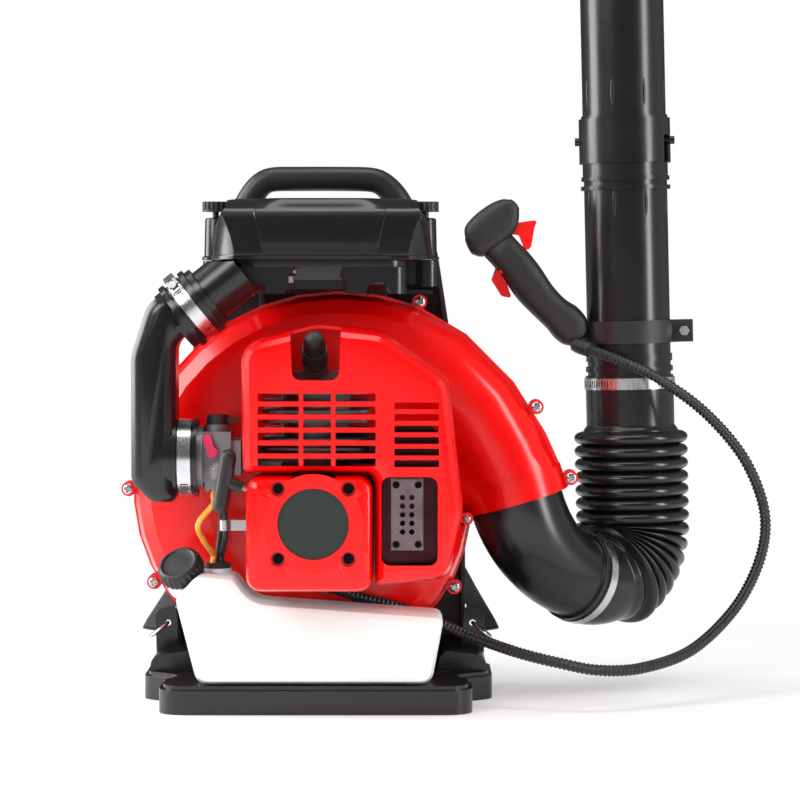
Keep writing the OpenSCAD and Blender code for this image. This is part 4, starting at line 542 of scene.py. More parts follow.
RIBBED_SHEATH = moulded("black_cable_sheath", (0.010, 0.010, 0.011), 0.30, grain=0.3, depth=0.12, dust=0.01)
HOSE_RUBBER = moulded("black_hose_rubber", (0.008, 0.008, 0.009), 0.24, grain=0.2, depth=0.10, waves=0.6,
                      worn=(0.04, 0.04, 0.04), wear=0.2, dust=0.008, rubbed=0.2)
SCREW_STEEL = metal("screw_steel", (0.50, 0.50, 0.52), 0.22)
# Screws deep in the starter's wells: their near-black is painted shade of the wells, not the steel's own
# colour
WELL_SHADE_SCREWS = metal("screw_steel_in_painted_shade", (0.012, 0.010, 0.010), 0.6)
STRAP_CLOTH = woven("black_strap_cloth", (0.030, 0.030, 0.033), 1100, seam=(0.0035, 0.0525))
PAD_CLOTH = woven("black_pad_cloth", (0.034, 0.034, 0.037), 800)
ROPE_CORD = woven("braided_starter_cord", (0.62, 0.60, 0.55), 1400)
FINISH["amber_rubber"] = amber_line_finish()
FINISH["clear_plastic"] = clear_bulb_finish()
FINISH["fabric"] = PAD_CLOTH
FINISH["rope"] = ROPE_CORD


# ---------- Throttle cable, from behind the tank round the right side to the grip ----------

CABLE_ROUTE = MM * np.array([
    [12, -31, 110], [40, -31, 100], [80, -31, 90], [114, -31, 76], [146, -42, 64], [186, -72, 53],
    [224, -88, 45], [262, -88, 38], [304, -70, 38], [352, -34, 50], [394, 10, 80], [420, 38, 116],
    [432, 54, 154], [428, 60, 190], [408, 62, 232], [370, 60, 274], [324, 62, 306], [288, 70, 322],
    [263, 89, 331]])
CABLE_R = 5.5 * MM
CABLE_RIB = 4.2 * MM
CABLE_STEPS = 24


def cable_stretches():
    """The sheath's radius ripples with arc length: full on the crests, four fifths of a millimetre less in
    the roots, with flattened crests. The stretches are cut from one line, so they meet face to face."""
    line = route_through(CABLE_ROUTE, CABLE_STEPS)
    cuts = [(0, 9, "throttle_cable_lower", ("machine", "elbow")),
            (9, 15, "throttle_cable_middle", ("elbow", "swivel_tube")),
            (15, 18, "throttle_cable_upper", ("swivel_tube", "handle"))]
    done = 0.0
    for first, last, node, bodies in cuts:
        part = line[first * CABLE_STEPS:last * CABLE_STEPS + 1]
        path, s = evenly(part, CABLE_RIB / 8)
        ripple = 0.5 + 0.5 * np.tanh(2.2 * np.sin(2 * np.pi * (s + done) / CABLE_RIB)) / np.tanh(2.2)
        done += s[-1]
        rows = tube_rows(path, CABLE_R - 0.9 * MM * (1 - ripple), (0, 1, 0), 14)
        sheath = skin(node + "_sheath", rows, along=s, around=2 * np.pi * CABLE_R)
        settle(sheath, node, RIBBED_SHEATH, rides=False)
        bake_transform(sheath)


cable_stretches()


# ---------- Ribbed hose from the elbow up to the swivel pipe ----------

ELBOW_END = MM * np.array([248.366, 67.883, 111.013])
ELBOW_END_DIR = unit(np.array([0.706773, 0.636381, -0.309017]))
HOSE_SIDE = unit(np.array([0.218372, 0.219226, 0.950922]))
PIPE_DIR = unit(np.array([-0.0237342, 0, 0.999718]))
HOSE_TOP = MM * np.array([305.113, 123.704, 305])
HOSE_BEND_R = 54 * MM
HOSE_LEAD = 12 * MM
HOSE_TURN = math.radians(109.0)
HOSE_L = 260.177 * MM
HOSE_HUB = ELBOW_END + HOSE_LEAD * ELBOW_END_DIR + HOSE_BEND_R * HOSE_SIDE
CUFF_R, ROOT_R, CREST_R, BORE_R = 43.4 * MM, 48 * MM, 56 * MM, 41.4 * MM
RIBS, RIBS_FROM, RIBS_TO = 14, 50 * MM, 205.177 * MM
BEND_TO = HOSE_LEAD + HOSE_BEND_R * HOSE_TURN
BEND_SPREAD = 0.4
HOSE_RINGS, HOSE_SIDES = 420, 72


def hose_line(s):
    """Centre and direction at arc length s: a straight lead, an arc about the hub, then straight up the
    pipe."""
    a = np.clip((s - HOSE_LEAD) / HOSE_BEND_R, 0, HOSE_TURN)[:, None]
    direction = np.sin(a) * HOSE_SIDE + np.cos(a) * ELBOW_END_DIR
    centre = HOSE_HUB - HOSE_BEND_R * (np.cos(a) * HOSE_SIDE - np.sin(a) * ELBOW_END_DIR)
    before = np.minimum(s - HOSE_LEAD, 0)[:, None]
    after = np.maximum(s - BEND_TO, 0)[:, None]
    return centre + before * ELBOW_END_DIR + after * PIPE_DIR, direction


def hose_radius(s):
    """Plain cuffs at both ends, and between them crests that are half-ellipses over narrow roots. They lie
    closer on the bend's centre line than on the straight, since its outside stretches them."""
    spread = lambda at: at + BEND_SPREAD * (np.minimum(at, BEND_TO) - RIBS_FROM)
    share = (spread(s) - spread(RIBS_FROM)) / (spread(RIBS_TO) - spread(RIBS_FROM))
    across = 2 * (share * RIBS % 1) - 1
    ribs = ROOT_R + (CREST_R - ROOT_R) * np.sqrt(np.clip(1 - (across / 0.94) ** 2, 0, 1))
    lead_in = ease((s - RIBS_FROM + 11 * MM) / (9 * MM))
    lead_out = ease((RIBS_TO + 6 * MM - s) / (5 * MM))
    inside = (s > RIBS_FROM) & (s < RIBS_TO)
    base = CUFF_R + (ROOT_R - 1.5 * MM - CUFF_R) * np.minimum(lead_in, lead_out)
    return np.where(inside, ribs, base)


def ribbed_hose():
    """Ribs outside, and back through the plain bore in wider steps."""
    s = np.linspace(3 * MM, HOSE_L, HOSE_RINGS)
    centre, direction = hose_line(s)
    across = np.cross(HOSE_SIDE, ELBOW_END_DIR)[None]
    u = np.cross(across, direction)
    out, aside = circle(HOSE_SIDES)
    radius = np.broadcast_to(hose_radius(s)[:, None], (len(s), len(out)))
    # The crests crowd together on the inside of the bend and stop short of its hub
    room = (HOSE_BEND_R - 2.5 * MM) / np.maximum(-out, 0.05)[None]
    bent = ((s > HOSE_LEAD) & (s < BEND_TO + 4 * MM))[:, None]
    radius = np.where(bent, np.minimum(radius, room), radius)
    outside = sweep(centre, u, across, radius * out, radius * aside)
    bore = np.full((len(s), 1), BORE_R)
    inside = sweep(centre, u, across, bore * out, bore * aside)[::-1][::6]
    hose = skin("ribbed_hose", np.concatenate([outside, inside]), np.r_[s, s[::-1][::6]], 2 * np.pi * CREST_R,
                loop=True, creased=60)
    settle(hose, "flexible_hose", HOSE_RUBBER, rides=False)
    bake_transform(hose)


ribbed_hose()


# ---------- Fuel line, breather lines and starter rope ----------

LINE_R = 2.7 * MM
LINES = {
    "fuel_line": [
        [[-96, -66.3, 122], [-96, -66.3, 137], [-96, -66.3, 144], [-104, -80, 158],
         [-108, -94, 174], [-94, -98, 193], [-94, -98, 200], [-94, -98, 207]],
    ],
    "breather_lines": [
        [[-88, -66.3, 122], [-88, -66.3, 137], [-88, -66.3, 144], [-84, -78, 160], [-84, -80, 172],
         [-84, -82, 182], [-90, -89, 193], [-90, -89, 200], [-90, -89, 207]],
        [[-92, -59.4, 122], [-92, -59.4, 137], [-92, -59.4, 144], [-90, -57, 160],
         [-88, -60, 178], [-89, -77, 193], [-89, -77, 200], [-89, -77, 207]],
    ],
}


def rubber_line(node):
    """Plain tubes along their routes, joined into one piece for each solid."""
    parts = []
    for points in LINES[node]:
        path, s = evenly(route_through(MM * np.array(points), 16), 1.2 * MM)
        parts.append(skin(node + "_hose", tube_rows(path, LINE_R, (1, 0.2, 0), 20), s, 2 * np.pi * LINE_R))
    first, others = parts[0], parts[1:]
    if others:
        joined = bmesh.new()
        for part in parts:
            joined.from_mesh(part.data)
        joined.to_mesh(first.data)
        joined.free()
        first.data.shade_smooth()
    for part in others:
        bpy.data.objects.remove(part)
    settle(first, node)


for line_node in LINES:
    rubber_line(line_node)

ROPE_EYE = MM * np.array([-61.5, -149, 210])
ROPE_R = 2 * MM
PULL_DIR = unit(np.array([-0.940376, 0, 0.340136]))


def starter_cord():
    """Four-millimetre braided cord: the radius carries three lobes that turn with arc length."""
    s = np.linspace(-43.6 * MM, 3.5 * MM, 160)
    path = ROPE_EYE + s[:, None] * PULL_DIR
    a = np.arange(24) * 2 * np.pi / 24
    lobes = ROPE_R * (1 - 0.10 * np.abs(np.sin(1.5 * a[None] + 2 * np.pi * s[:, None] / (9 * MM))))
    cord = skin("braided_cord", tube_rows(path, lobes, (0, 1, 0), 24), along=s, around=12.6 * MM)
    settle(cord, "starter_rope", rides=False)
    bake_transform(cord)


starter_cord()


# ---------- Shoulder straps and back pad ----------

PAD_Y, PAD_T = 121.3, 22
STRAP_ROUTE = np.array([[58, PAD_Y, 432], [60, 155, 446], [70, 205, 396], [84, 233, 300], [100, 217, 205],
                        [120, 181, 138], [142, 147, 96], [162, 106, 64], [166, 95, 56]])
STRAP_HALF_W, STRAP_HALF_T = 28, 6.5
WEB_HALF_W, WEB_HALF_T = 9.5, 1.5
QUILT = 62
# Share of the half width where the foam's seam runs
SEAM_AT = 0.86


def strap(side):
    """Foam strap that narrows into webbing. Across its width the thickness holds full, is pinched to a third
    at the seam near each edge, and ends in a round binding; along it, it eases from strap to webbing."""
    name = "shoulder_strap_" + ("left" if side < 0 else "right")
    path, s = evenly(route_through(STRAP_ROUTE, 16), 2.0)
    tangent = unit(np.gradient(path, axis=0))
    start = ease(s / 15)[:, None]
    tangent = unit(start * tangent + (1 - start) * np.array([0, 1.0, 0]))
    across = unit(np.array([1.0, 0, 0]) - tangent[:, :1] * tangent)
    up = np.cross(tangent, across)
    share = ease((0.66 - s / s[-1]) / 0.1)[:, None]
    half_w = WEB_HALF_W + (STRAP_HALF_W - WEB_HALF_W) * share
    half_t = WEB_HALF_T + (STRAP_HALF_T - WEB_HALF_T) * share
    x, _ = circle(64, 0.8)
    edge = np.abs(x)
    foam = 1 - 0.10 * edge ** 2 - 0.62 * np.exp(-((edge - SEAM_AT) / 0.045) ** 2)
    foam = np.where(edge > SEAM_AT, np.minimum(foam, 0.52), foam) * np.sqrt(np.clip(1 - edge ** 12, 0, 1))
    flat = np.sqrt(np.clip(1 - edge ** 8, 0, 1))
    # Quilted bulges between cross seams
    quilt = 1 - 0.16 * np.exp(-(((s + QUILT / 2) % QUILT - QUILT / 2) / 5) ** 2)[:, None]
    thick = np.sign(circle(64)[1]) * (share * foam * quilt + (1 - share) * flat) * half_t
    rows = sweep(path, across, up, x * half_w, thick)
    if side < 0:
        rows = (rows * [-1, 1, 1])[:, ::-1]
    # The UV goes round both faces in metres
    piece = skin(name + "_cloth", MM * rows, s * MM, 4 * STRAP_HALF_W * MM)
    settle(piece, name, STRAP_CLOTH)


strap(-1)
strap(1)

# X, Z and radius
PAD_CORNERS = np.array([[-98, 74, 26], [98, 74, 26], [112, 236, 60], [84, 396, 30], [-84, 396, 30],
                        [-112, 236, 60]], float)
PAD_MIDDLE = np.array([0, 236.0])


def rounded_outline(corners, steps):
    """Outline of a convex polygon whose corners [x, z, radius] become arcs tangent to both sides."""
    p, r = corners[:, :2], corners[:, 2]
    back, ahead = unit(np.roll(p, 1, 0) - p), unit(np.roll(p, -1, 0) - p)
    half = np.arccos(np.clip((back * ahead).sum(-1), -1, 1)) / 2
    centre = p + unit(back + ahead) * (r / np.sin(half))[:, None]
    first, last = p + back * (r / np.tan(half))[:, None], p + ahead * (r / np.tan(half))[:, None]
    t = np.linspace(0, 1, steps)[None, :, None]
    arc = unit((1 - t) * (first - centre)[:, None] + t * (last - centre)[:, None]) * r[:, None, None]
    return (centre[:, None] + arc).reshape(-1, 2)


def back_pad():
    """Foam pad: rings that shrink from the outline to its middle while the crown rises by an ellipse quarter;
    a sewn channel runs down the middle and two seams cross it, each a narrow trough."""
    ring = rounded_outline(PAD_CORNERS, 14)
    ring = np.c_[ring, np.zeros(len(ring))]
    outline = evenly(np.r_[ring, ring[:1]], 4.0)[0][:-1, :2]
    reach = np.linalg.norm(outline - PAD_MIDDLE, axis=1)
    inset = np.r_[5, 1.5, 0, 0, 1, 3, 7, 12, 18, 25, np.linspace(33, 70, 5)]
    rise = np.r_[0, 0.02, 0.16, 0.5, 0.62, 0.74, 0.86, 0.93, 0.97, 0.99, np.ones(5)]
    k = 1 - inset[:, None] / reach[None]
    # From the last inset ring the rows shrink in proportion to the middle
    tail = k[-1][None] * np.linspace(0.92, 0.02, 24)[:, None]
    k = np.concatenate([k, tail])
    rise = np.r_[rise, np.ones(len(tail))]
    xz = PAD_MIDDLE + k[..., None] * (outline - PAD_MIDDLE)[None]
    x, z = xz[..., 0], xz[..., 1]
    trough = 0.40 * np.exp(-(x / 5.5) ** 2) * ease((z - 62) / 14)
    cross_seams = 0.20 * (np.exp(-((z - 180) / 4) ** 2) + np.exp(-((z - 296) / 4) ** 2))
    edge_seam = 0.16 * np.exp(-(((1 - k) * reach[None] - 14) / 2.2) ** 2)
    depth = PAD_T * rise[:, None] * (1 - trough) * (1 - cross_seams) * (1 - edge_seam)
    rows = np.stack([x, PAD_Y + depth, z], -1)
    along = MM * np.r_[0, np.cumsum(np.abs(np.diff(k.mean(1))) * reach.mean())]
    pad = skin("back_pad_cloth", MM * rows[:, ::-1], along=along, around=MM * 900)
    settle(pad, "back_pad")


back_pad()


# ---------- Air cleaner: cover with cheeks and a raised panel, and the skirt of its case ----------

DECK_Z = 417.0
COVER_FRONT, COVER_REAR = -90.0, 73.0
CHEEK_FOLD = 0.62
COVER_MIDDLE = np.array([5.0, -8.0])
COVER_WALL, COVER_ROOF, COVER_SEAM = 3.2, 2.6, 0.3
# The plan is mirrored about half of COVER_SPAN
COVER_SPAN = 11.0
CHEEK_Y = -44.0
COVER_SHOULDER = 48.0
COVER_CORNER_R = 34.0
# Left and right edge of the raised panel, as shares of the front face, and half of the step's width
PANEL = np.array([-48.9 + 75, 57.7 + 75]) / 161
PANEL_STEP = 0.0022 * np.array([-1, 1])


def stretch(t, points):
    """Piecewise-linear value at t through (t, value) points."""
    xs, ys = zip(*points)
    return np.interp(t, xs, ys)


def cover_outline(z):
    """Plan of the cover at a height above its seam: the front, a swelling cheek at each front corner, the
    sides and a rounded back. The cheeks are wide at the seam and run out where the front meets the top."""
    side_x = stretch(z, [(0, 108.5), (8, 109.0), (32, 106.5), (42, 102.5), (48, 97)])
    fold_x = stretch(z, [(0, 86), (10, 87), (24, 90.5), (36, 95), (44, 99), (48, 96)])
    front = COVER_FRONT + stretch(z, [(0, 0.5), (8, 0.0), (24, 0.6), (40, 3.0), (46, 6.5), (48, 8.5)])
    rear = COVER_REAR - stretch(z, [(0, 0), (34, 1.5), (44, 6), (48, 10)])
    # Front face, with close columns where the raised panel's edges stand
    share = np.r_[0, 0.08, 0.15, PANEL[0] + PANEL_STEP, np.linspace(0.22, 0.77, 12), PANEL[1] + PANEL_STEP,
                  0.88, 0.94, 1.0]
    panel = ease((z - 7) / 12) * (share > PANEL[0]) * (share < PANEL[1])
    left_fold = COVER_SPAN - fold_x
    face = np.c_[left_fold + (fold_x - left_fold) * share, front - 0.9 * panel]
    # Cheek: what an ellipse quarter runs through after its fold angle, so that it meets the face in a crease
    a = np.linspace(CHEEK_FOLD, np.pi / 2, 12)
    out, back = (np.sin(a) - np.sin(CHEEK_FOLD)) / (1 - np.sin(CHEEK_FOLD)), np.cos(a) / np.cos(CHEEK_FOLD)
    cheek = np.c_[fold_x + (side_x - fold_x) * out, CHEEK_Y + (front - CHEEK_Y) * back]
    # Side and back: straight, then a round corner
    c = np.linspace(0, np.pi / 2, 10)
    corner = np.c_[side_x, rear] + COVER_CORNER_R * (np.c_[np.cos(c), np.sin(c)] - 1)
    left_corner, left_cheek = ((line * [-1, 1] + [COVER_SPAN, 0])[::-1] for line in (corner, cheek))
    return np.concatenate([face, cheek[1:], corner, np.c_[np.linspace(60, -50, 8), np.full(8, rear)],
                           left_corner, left_cheek[:-1]])


def crown_height(x, y):
    """Height of the top above the seam: a plateau that falls in a short slope to the front crease, and in a
    long scooped one, bounded by an arc, at both front corners."""
    side = np.abs(x - COVER_MIDDLE[0])
    run = 9 + 30 * ease((side - 40) / 26)
    rise = np.clip((y - (COVER_FRONT + 8.5)) / run, 0, 1)
    lift = np.sin(rise * np.pi / 2)
    edge = np.clip((103.5 - side) / 30, 0, 1)
    back = np.clip((COVER_REAR - 10 - y) / 30, 0, 1)
    return COVER_SHOULDER + 10.0 * lift * np.sqrt(edge * (2 - edge)) * np.sqrt(back * (2 - back))


def cleaner_cover():
    """Rings of the outline rise from a lip at the seam to the crease, and then shrink in proportion to the
    middle over the crown. The wall goes inwards."""
    rings = []

    def add_ring(plan, z, inset):
        k = 1 - inset / np.linalg.norm(plan - COVER_MIDDLE, axis=1)
        rings.append(np.c_[COVER_MIDDLE + (plan - COVER_MIDDLE) * k[:, None], np.full(len(plan), z)])

    for z, inset in ((0.3, 1.2), (0.6, 0.0), (1.4, -0.8), (4.2, -1.0), (5.0, -0.6), (5.2, 0.3)):
        add_ring(cover_outline(0.0), z, inset)
    for z in np.r_[5.4, np.linspace(7, 43, 16), 44.5, 46, 47.2, COVER_SHOULDER]:
        add_ring(cover_outline(z), z, 1.0)
    last = rings[-1][:, :2]
    for t in np.r_[np.linspace(0.02, 0.36, 16), np.linspace(0.42, 0.97, 9)]:
        flat = COVER_MIDDLE + (last - COVER_MIDDLE) * (1 - t)
        rings.append(np.c_[flat, crown_height(flat[:, 0], flat[:, 1])])
    rows = np.stack(rings) + [0, 0, DECK_Z]
    inner = np.stack(rings[::-1][:-2])
    toward = COVER_MIDDLE - inner[..., :2]
    reach = np.linalg.norm(toward, axis=-1, keepdims=True)
    inner = np.concatenate([inner[..., :2]
                            + toward / np.maximum(reach, 4) * np.minimum(COVER_WALL, reach * 0.5),
                            inner[..., 2:] + DECK_Z - COVER_ROOF], -1)
    inner[..., 2] = np.maximum(inner[..., 2], DECK_Z + COVER_SEAM)
    sheet = np.concatenate([rows, inner])
    cover = skin("air_cleaner_cover_moulding", MM * sheet, loop=True, creased=24)
    settle(cover, "air_cleaner_cover")


def cover_ears():
    """Hollow pillars with a foot at both sides of the cover, that the knobs' studs pass through."""
    profile = [(0.5, 3.2, 0), (0.5, 13.2, 0), (1.0, 13.6, 0), (3.0, 13.6, 0), (3.8, 12.9, 0), (4.6, 11.6, 0),
               (38.5, 10.8, 0), (39.6, 10.2, 0), (40.2, 9.0, 0), (40.4, 3.4, 0)]
    for name, x in (("left", -94.2), ("right", 101.2)):
        rows = turned(profile, (x, -30, DECK_Z), (0, 0, 1), *circle(48))
        post = skin("cover_ear_" + name, MM * rows, loop=True, creased=30)
        attach(post, "air_cleaner_cover")


# Lower edge of the skirt in X and Z
SKIRT_FOOT = [(-78, 384), (-58, 384), (-56.5, 393), (-52, 395.5), (-46, 394), (-44.5, 386.5), (-30, 386.5),
              (-27, 390.8), (28, 390.8), (31, 386.5), (46, 386.5), (49, 394), (58, 397.5), (67, 396),
              (68.5, 386.5), (84, 386.5)]
SKIRT_LEFT, SKIRT_RIGHT, SKIRT_FRONT, SKIRT_TOP = -79, 84, -87.0, 411
SKIRT_WALL, SKIRT_CORNER_R, SKIRT_SET_BACK = 2.6, 14.0, 3.2


def case_skirt():
    """Apron under the front of the air cleaner's case: a wall along the front and both corners whose lower
    edge follows legs and notches, set back over its middle panel."""
    x = np.unique(np.r_[np.linspace(SKIRT_LEFT, SKIRT_RIGHT, 40), [p[0] for p in SKIRT_FOOT], -28.2, 29.2])
    a = np.linspace(np.pi / 2, 0, 8)[:-1]
    r = SKIRT_CORNER_R
    corner_y = SKIRT_FRONT + r - r * np.cos(a)
    left = np.c_[SKIRT_LEFT + r - r * np.sin(a), corner_y]
    right = np.c_[SKIRT_RIGHT - r + r * np.sin(a), corner_y][::-1]
    inside = (x > SKIRT_LEFT + r) & (x < SKIRT_RIGHT - r)
    front = np.c_[x[inside], np.full(inside.sum(), SKIRT_FRONT)]
    line = np.concatenate([[[SKIRT_LEFT, -48]], left, front, right, [[SKIRT_RIGHT, -48]]])
    foot = stretch(line[:, 0], SKIRT_FOOT)
    t = np.linspace(0, 1, 8)
    z = SKIRT_TOP + (foot[None] - SKIRT_TOP) * t[:, None]
    set_back = ((line[:, 0][None] > -15.5 - 12.5 * t[:, None]) & (line[:, 0][None] < 21.5 + 8 * t[:, None]))
    out = np.stack([np.broadcast_to(line[:, 0], z.shape), line[:, 1] + SKIRT_SET_BACK * set_back, z], -1)
    inward = unit(np.array([2.5, -20.0]) - line)
    inner = out + np.r_[inward.T * SKIRT_WALL, np.zeros((1, len(line)))].T[None]
    rows = np.concatenate([out, inner[::-1]]).transpose(1, 0, 2)
    skirt = skin("air_cleaner_skirt", MM * rows, creased=24)
    attach(skirt, "air_cleaner_case")


cleaner_cover()
cover_ears()
case_skirt()


# ---------- Control grip, carry handle and grip marks of the pipes ----------

GRIP_Y = 111.7


def pebble(name, stations, power, first_end, last_end):
    """Form through stations of left X and Z, right X and Z, and half thickness: smooth from one to the next,
    each ring a squared-off ellipse, and round at both ends over the given lengths."""
    s = np.asarray(stations, float)
    left = route_through(np.c_[s[:, 0], s[:, 4], s[:, 1]], 6)
    right = route_through(np.c_[s[:, 2], s[:, 4], s[:, 3]], 6)
    wide, thick = circle(44, power)
    middle, half_w = (left + right) / 2, (right - left) / 2
    ends = []
    for k, length, other in ((0, first_end, 1), (-1, last_end, -2)):
        out = unit(middle[k] - middle[other])
        ends.append([(middle[k] + out * length * np.sin(t), half_w[k] * np.cos(t), left[k, 1] * np.cos(t))
                     for t in np.radians([80, 62, 44, 28, 13])])
    rows = []
    for at, half, t in ends[0] + list(zip(middle, half_w, left[:, 1])) + ends[1][::-1]:
        centre = np.array([at[0], GRIP_Y, at[2]])
        rows.append(centre + wide[:, None] * [half[0], 0, half[2]] + thick[:, None] * [0, t, 0])
    return skin(name, MM * np.stack(rows), creased=60)


def control_grip():
    """Body from the head down to the clamp's tongue, and the head over its top."""
    body = pebble("grip_body", [
        (160, 423, 184, 447, 10.5), (164.5, 418.5, 188.5, 443, 14.0), (169.6, 412.8, 194.5, 436.5, 15.8),
        (180.5, 399, 205.1, 425.6, 16.5), (193, 381, 216, 411.8, 17.0), (208, 365.5, 228.5, 393.1, 17.0),
        (222.0, 352.0, 240.6, 380.3, 16.6), (229.8, 342.5, 252.4, 372.5, 16.2),
        (238, 336.2, 261.0, 362.5, 15.6), (246.5, 334, 264.0, 352.5, 14.0)], 0.74, 3.0, 4.0)
    head = pebble("grip_head", [
        (142.2, 440.0, 150.0, 424.0, 12.6), (141.8, 450.5, 159.5, 422.0, 15.0),
        (149.2, 460.4, 172.5, 430.0, 15.8), (159.5, 469.0, 184.5, 438.8, 15.9),
        (169.5, 475.2, 192.3, 448.5, 15.8), (178.5, 478.4, 195, 459, 15.0),
        (185.5, 478.0, 195.0, 467.5, 12.4)], 0.60, 2.0, 3.0)
    for piece, node in ((body, "handle_body"), (head, "handle_head")):
        settle(piece, node, WORN_GRIP)
    tail = route_through(CABLE_ROUTE, CABLE_STEPS)[-2:]
    run = unit(tail[1] - tail[0])
    line = tail[1] + np.array([-1.0, 0.0, 4.0, 9.0, 14.0, 18.0])[:, None] * MM * run
    boot = skin("grip_cable_boot",
                tube_rows(line, np.array([5.8, 7.2, 7.5, 7.5, 7.4, 6.6]) * MM, (0, 1, 0), 32), creased=40)
    attach(boot, "handle_body", WORN_GRIP)


HANDLE_Y = 108
HANDLE_LINE = [(-91, 424), (-82, 446), (-74.5, 466), (-67.5, 481), (-58.8, 492.2), (-47, 497.6), (-20, 498.2),
               (20, 498.2), (50, 497.3), (62.8, 491.8), (73, 480.6), (80.5, 466), (89, 446), (98.5, 424)]


def carry_handle():
    """Round bar that rises from both shoulders of the back frame, over the air cleaner."""
    line = route_through([(x, HANDLE_Y, z) for x, z in HANDLE_LINE], 7)
    line, _ = evenly(line, 4.0)
    _, across, other = sides_of(line, (0, 1, 0))
    # The legs are a little thicker than the bar
    leg = ease((496 - line[:, 2]) / 30)[:, None]
    wide, deep = circle(48, 0.86)
    rows = sweep(line, across, other, (12 + 1.4 * leg) * wide, np.full(leg.shape, 12.8) * deep)
    bar = skin("carry_handle", MM * rows, creased=60)
    attach(bar, "back_frame")


PIPE_R = 41.0


def grip_marks():
    """Rows of raised spindles round two pipes, that the hand finds when it twists them together."""
    across = np.array([PIPE_DIR[2], 0, -PIPE_DIR[0]])
    t = np.linspace(-1, 1, 17)[:, None, None]
    slim = np.sqrt(np.clip(1 - t * t, 0.0004, 1))
    c, s = (share[None, :, None] for share in circle(12))
    for name, node, centre in (("swivel_mark", "swivel_pipe", (301.0, 123.704, 475)),
                               ("pipe_mark", "straight_pipe", (298.5, 123.704, 582.5))):
        for k in range(8):
            turn = math.radians(-20 + 45 * k)
            out = math.sin(turn) * across + math.cos(turn) * np.array([0, -1.0, 0])
            rows = (np.array(centre) + out * (PIPE_R - 0.1) + 13.5 * t * PIPE_DIR
                    + slim * (1.7 * c * np.cross(PIPE_DIR, out) + 0.9 * s * out))
            mark = skin(f"{name}_{k}", MM * rows)
            attach(mark, node)


CAP_FOOT, CAP_AXIS = np.array([-122.0, -84.0, 127.0]), np.array([-0.3, -0.62, 0.72])


def fuel_cap():
    """Round cap with a ribbed side and a sunk face inside a raised rim, hollow below."""
    # Height, radius and share of the ribs
    profile = [(10, 0.1, 0), (10, 16.3, 0), (0.3, 16.3, 0), (0.3, 19.2, 0), (0.9, 19.9, 0), (1.6, 20.0, 1),
               (12.6, 20.0, 1), (14.0, 19.7, 0.3), (15.2, 19.0, 0), (16.0, 17.9, 0), (16.2, 16.6, 0),
               (15.9, 15.7, 0), (15.2, 15.2, 0), (15.0, 14.2, 0), (15.3, 8, 0), (15.4, 0.1, 0)]
    a = np.arange(216) * 2 * np.pi / 216
    ribs = 1.3 * np.clip(np.cos(24 * a), 0, 1) ** 0.7
    foot = CAP_FOOT + 0.3 * unit(CAP_AXIS)
    rows = turned(profile, foot, CAP_AXIS, np.cos(a), np.sin(a), ribs)
    cap = skin("fuel_cap_moulding", MM * rows, creased=40)
    settle(cap, "fuel_cap")


# From the crank's axis to the ends of the starter's flat front: left, right, down and up
STARTER_REACH = (49.0, 49.0, 52.0, 36.0)
STARTER_FRONT, CRANK_Z = -169.0, 180
RING_R, SWELL_R = 39.3, 57.4


def starter_ring():
    """Swell that falls from the starter's raised ring to its front. Near the four screw wells, and where the
    front ends, it draws back into the ring."""
    a = np.arange(360) * 2 * np.pi / 360
    share = ease((np.abs((np.degrees(a) % 90) - 45) - 8.8) / 7)
    left, right, low, high = STARTER_REACH
    room = np.minimum(np.where(np.cos(a) > 0, right, left) / np.maximum(np.abs(np.cos(a)), 0.01),
                      np.where(np.sin(a) > 0, high, low) / np.maximum(np.abs(np.sin(a)), 0.01))
    share = share * np.clip((room - RING_R) / (SWELL_R - RING_R), 0, 1)
    # Height over the front and radius
    profile = [(0.2, RING_R), (2.5, RING_R), (2.93, 39.6), (2.93, 44.4), (2.72, 45.8), (2.35, 48),
               (1.95, 50.5), (1.55, 53), (1.22, 55.3), (1.03, 57), (0.2, SWELL_R)]
    rows = []
    for d, r in profile:
        reach = RING_R + (r - RING_R) * share
        rows.append(np.stack([reach * np.cos(a), np.full(len(a), STARTER_FRONT - d),
                              CRANK_Z + reach * np.sin(a)], -1))
    ring = skin("starter_ring", MM * np.stack(rows), loop=True, creased=50)
    attach(ring, "starter_case")


control_grip()
carry_handle()
grip_marks()
fuel_cap()
starter_ring()


# ---------- Heads of the case screws: domes with a cross recess ----------

def cross_head(name, x, z, front, radius, tall):
    """Dome over a flat head that faces -Y. Its height is tall times an ellipse quarter of the radius, less a
    cross of two bars whose walls fall within a tenth of the radius."""
    ring = np.linspace(1.0, 0.02, 22)[:, None]
    a = (np.arange(64) * 2 * np.pi / 64)[None]
    u, v = ring * np.cos(a + 0.4), ring * np.sin(a + 0.4)
    wide = lambda p, q: ease((0.17 - np.abs(p)) / 0.06 + 0.5) * ease((0.60 - np.abs(q)) / 0.08 + 0.5)
    slot = np.maximum(wide(u, v), wide(v, u))
    height = tall * np.sqrt(np.clip(1 - (0.97 * ring) ** 2, 0, 1)) * (1 - 0.93 * slot)
    dome = np.stack([x + radius * ring * np.cos(a), front - height, z + radius * ring * np.sin(a)], -1)
    skirt = dome[:1] * [1, 0, 1] + [0, front + 0.3, 0]
    head = skin(name, MM * np.concatenate([skirt, dome]), creased=32)
    attach(head, "case_screws", SCREW_STEEL)


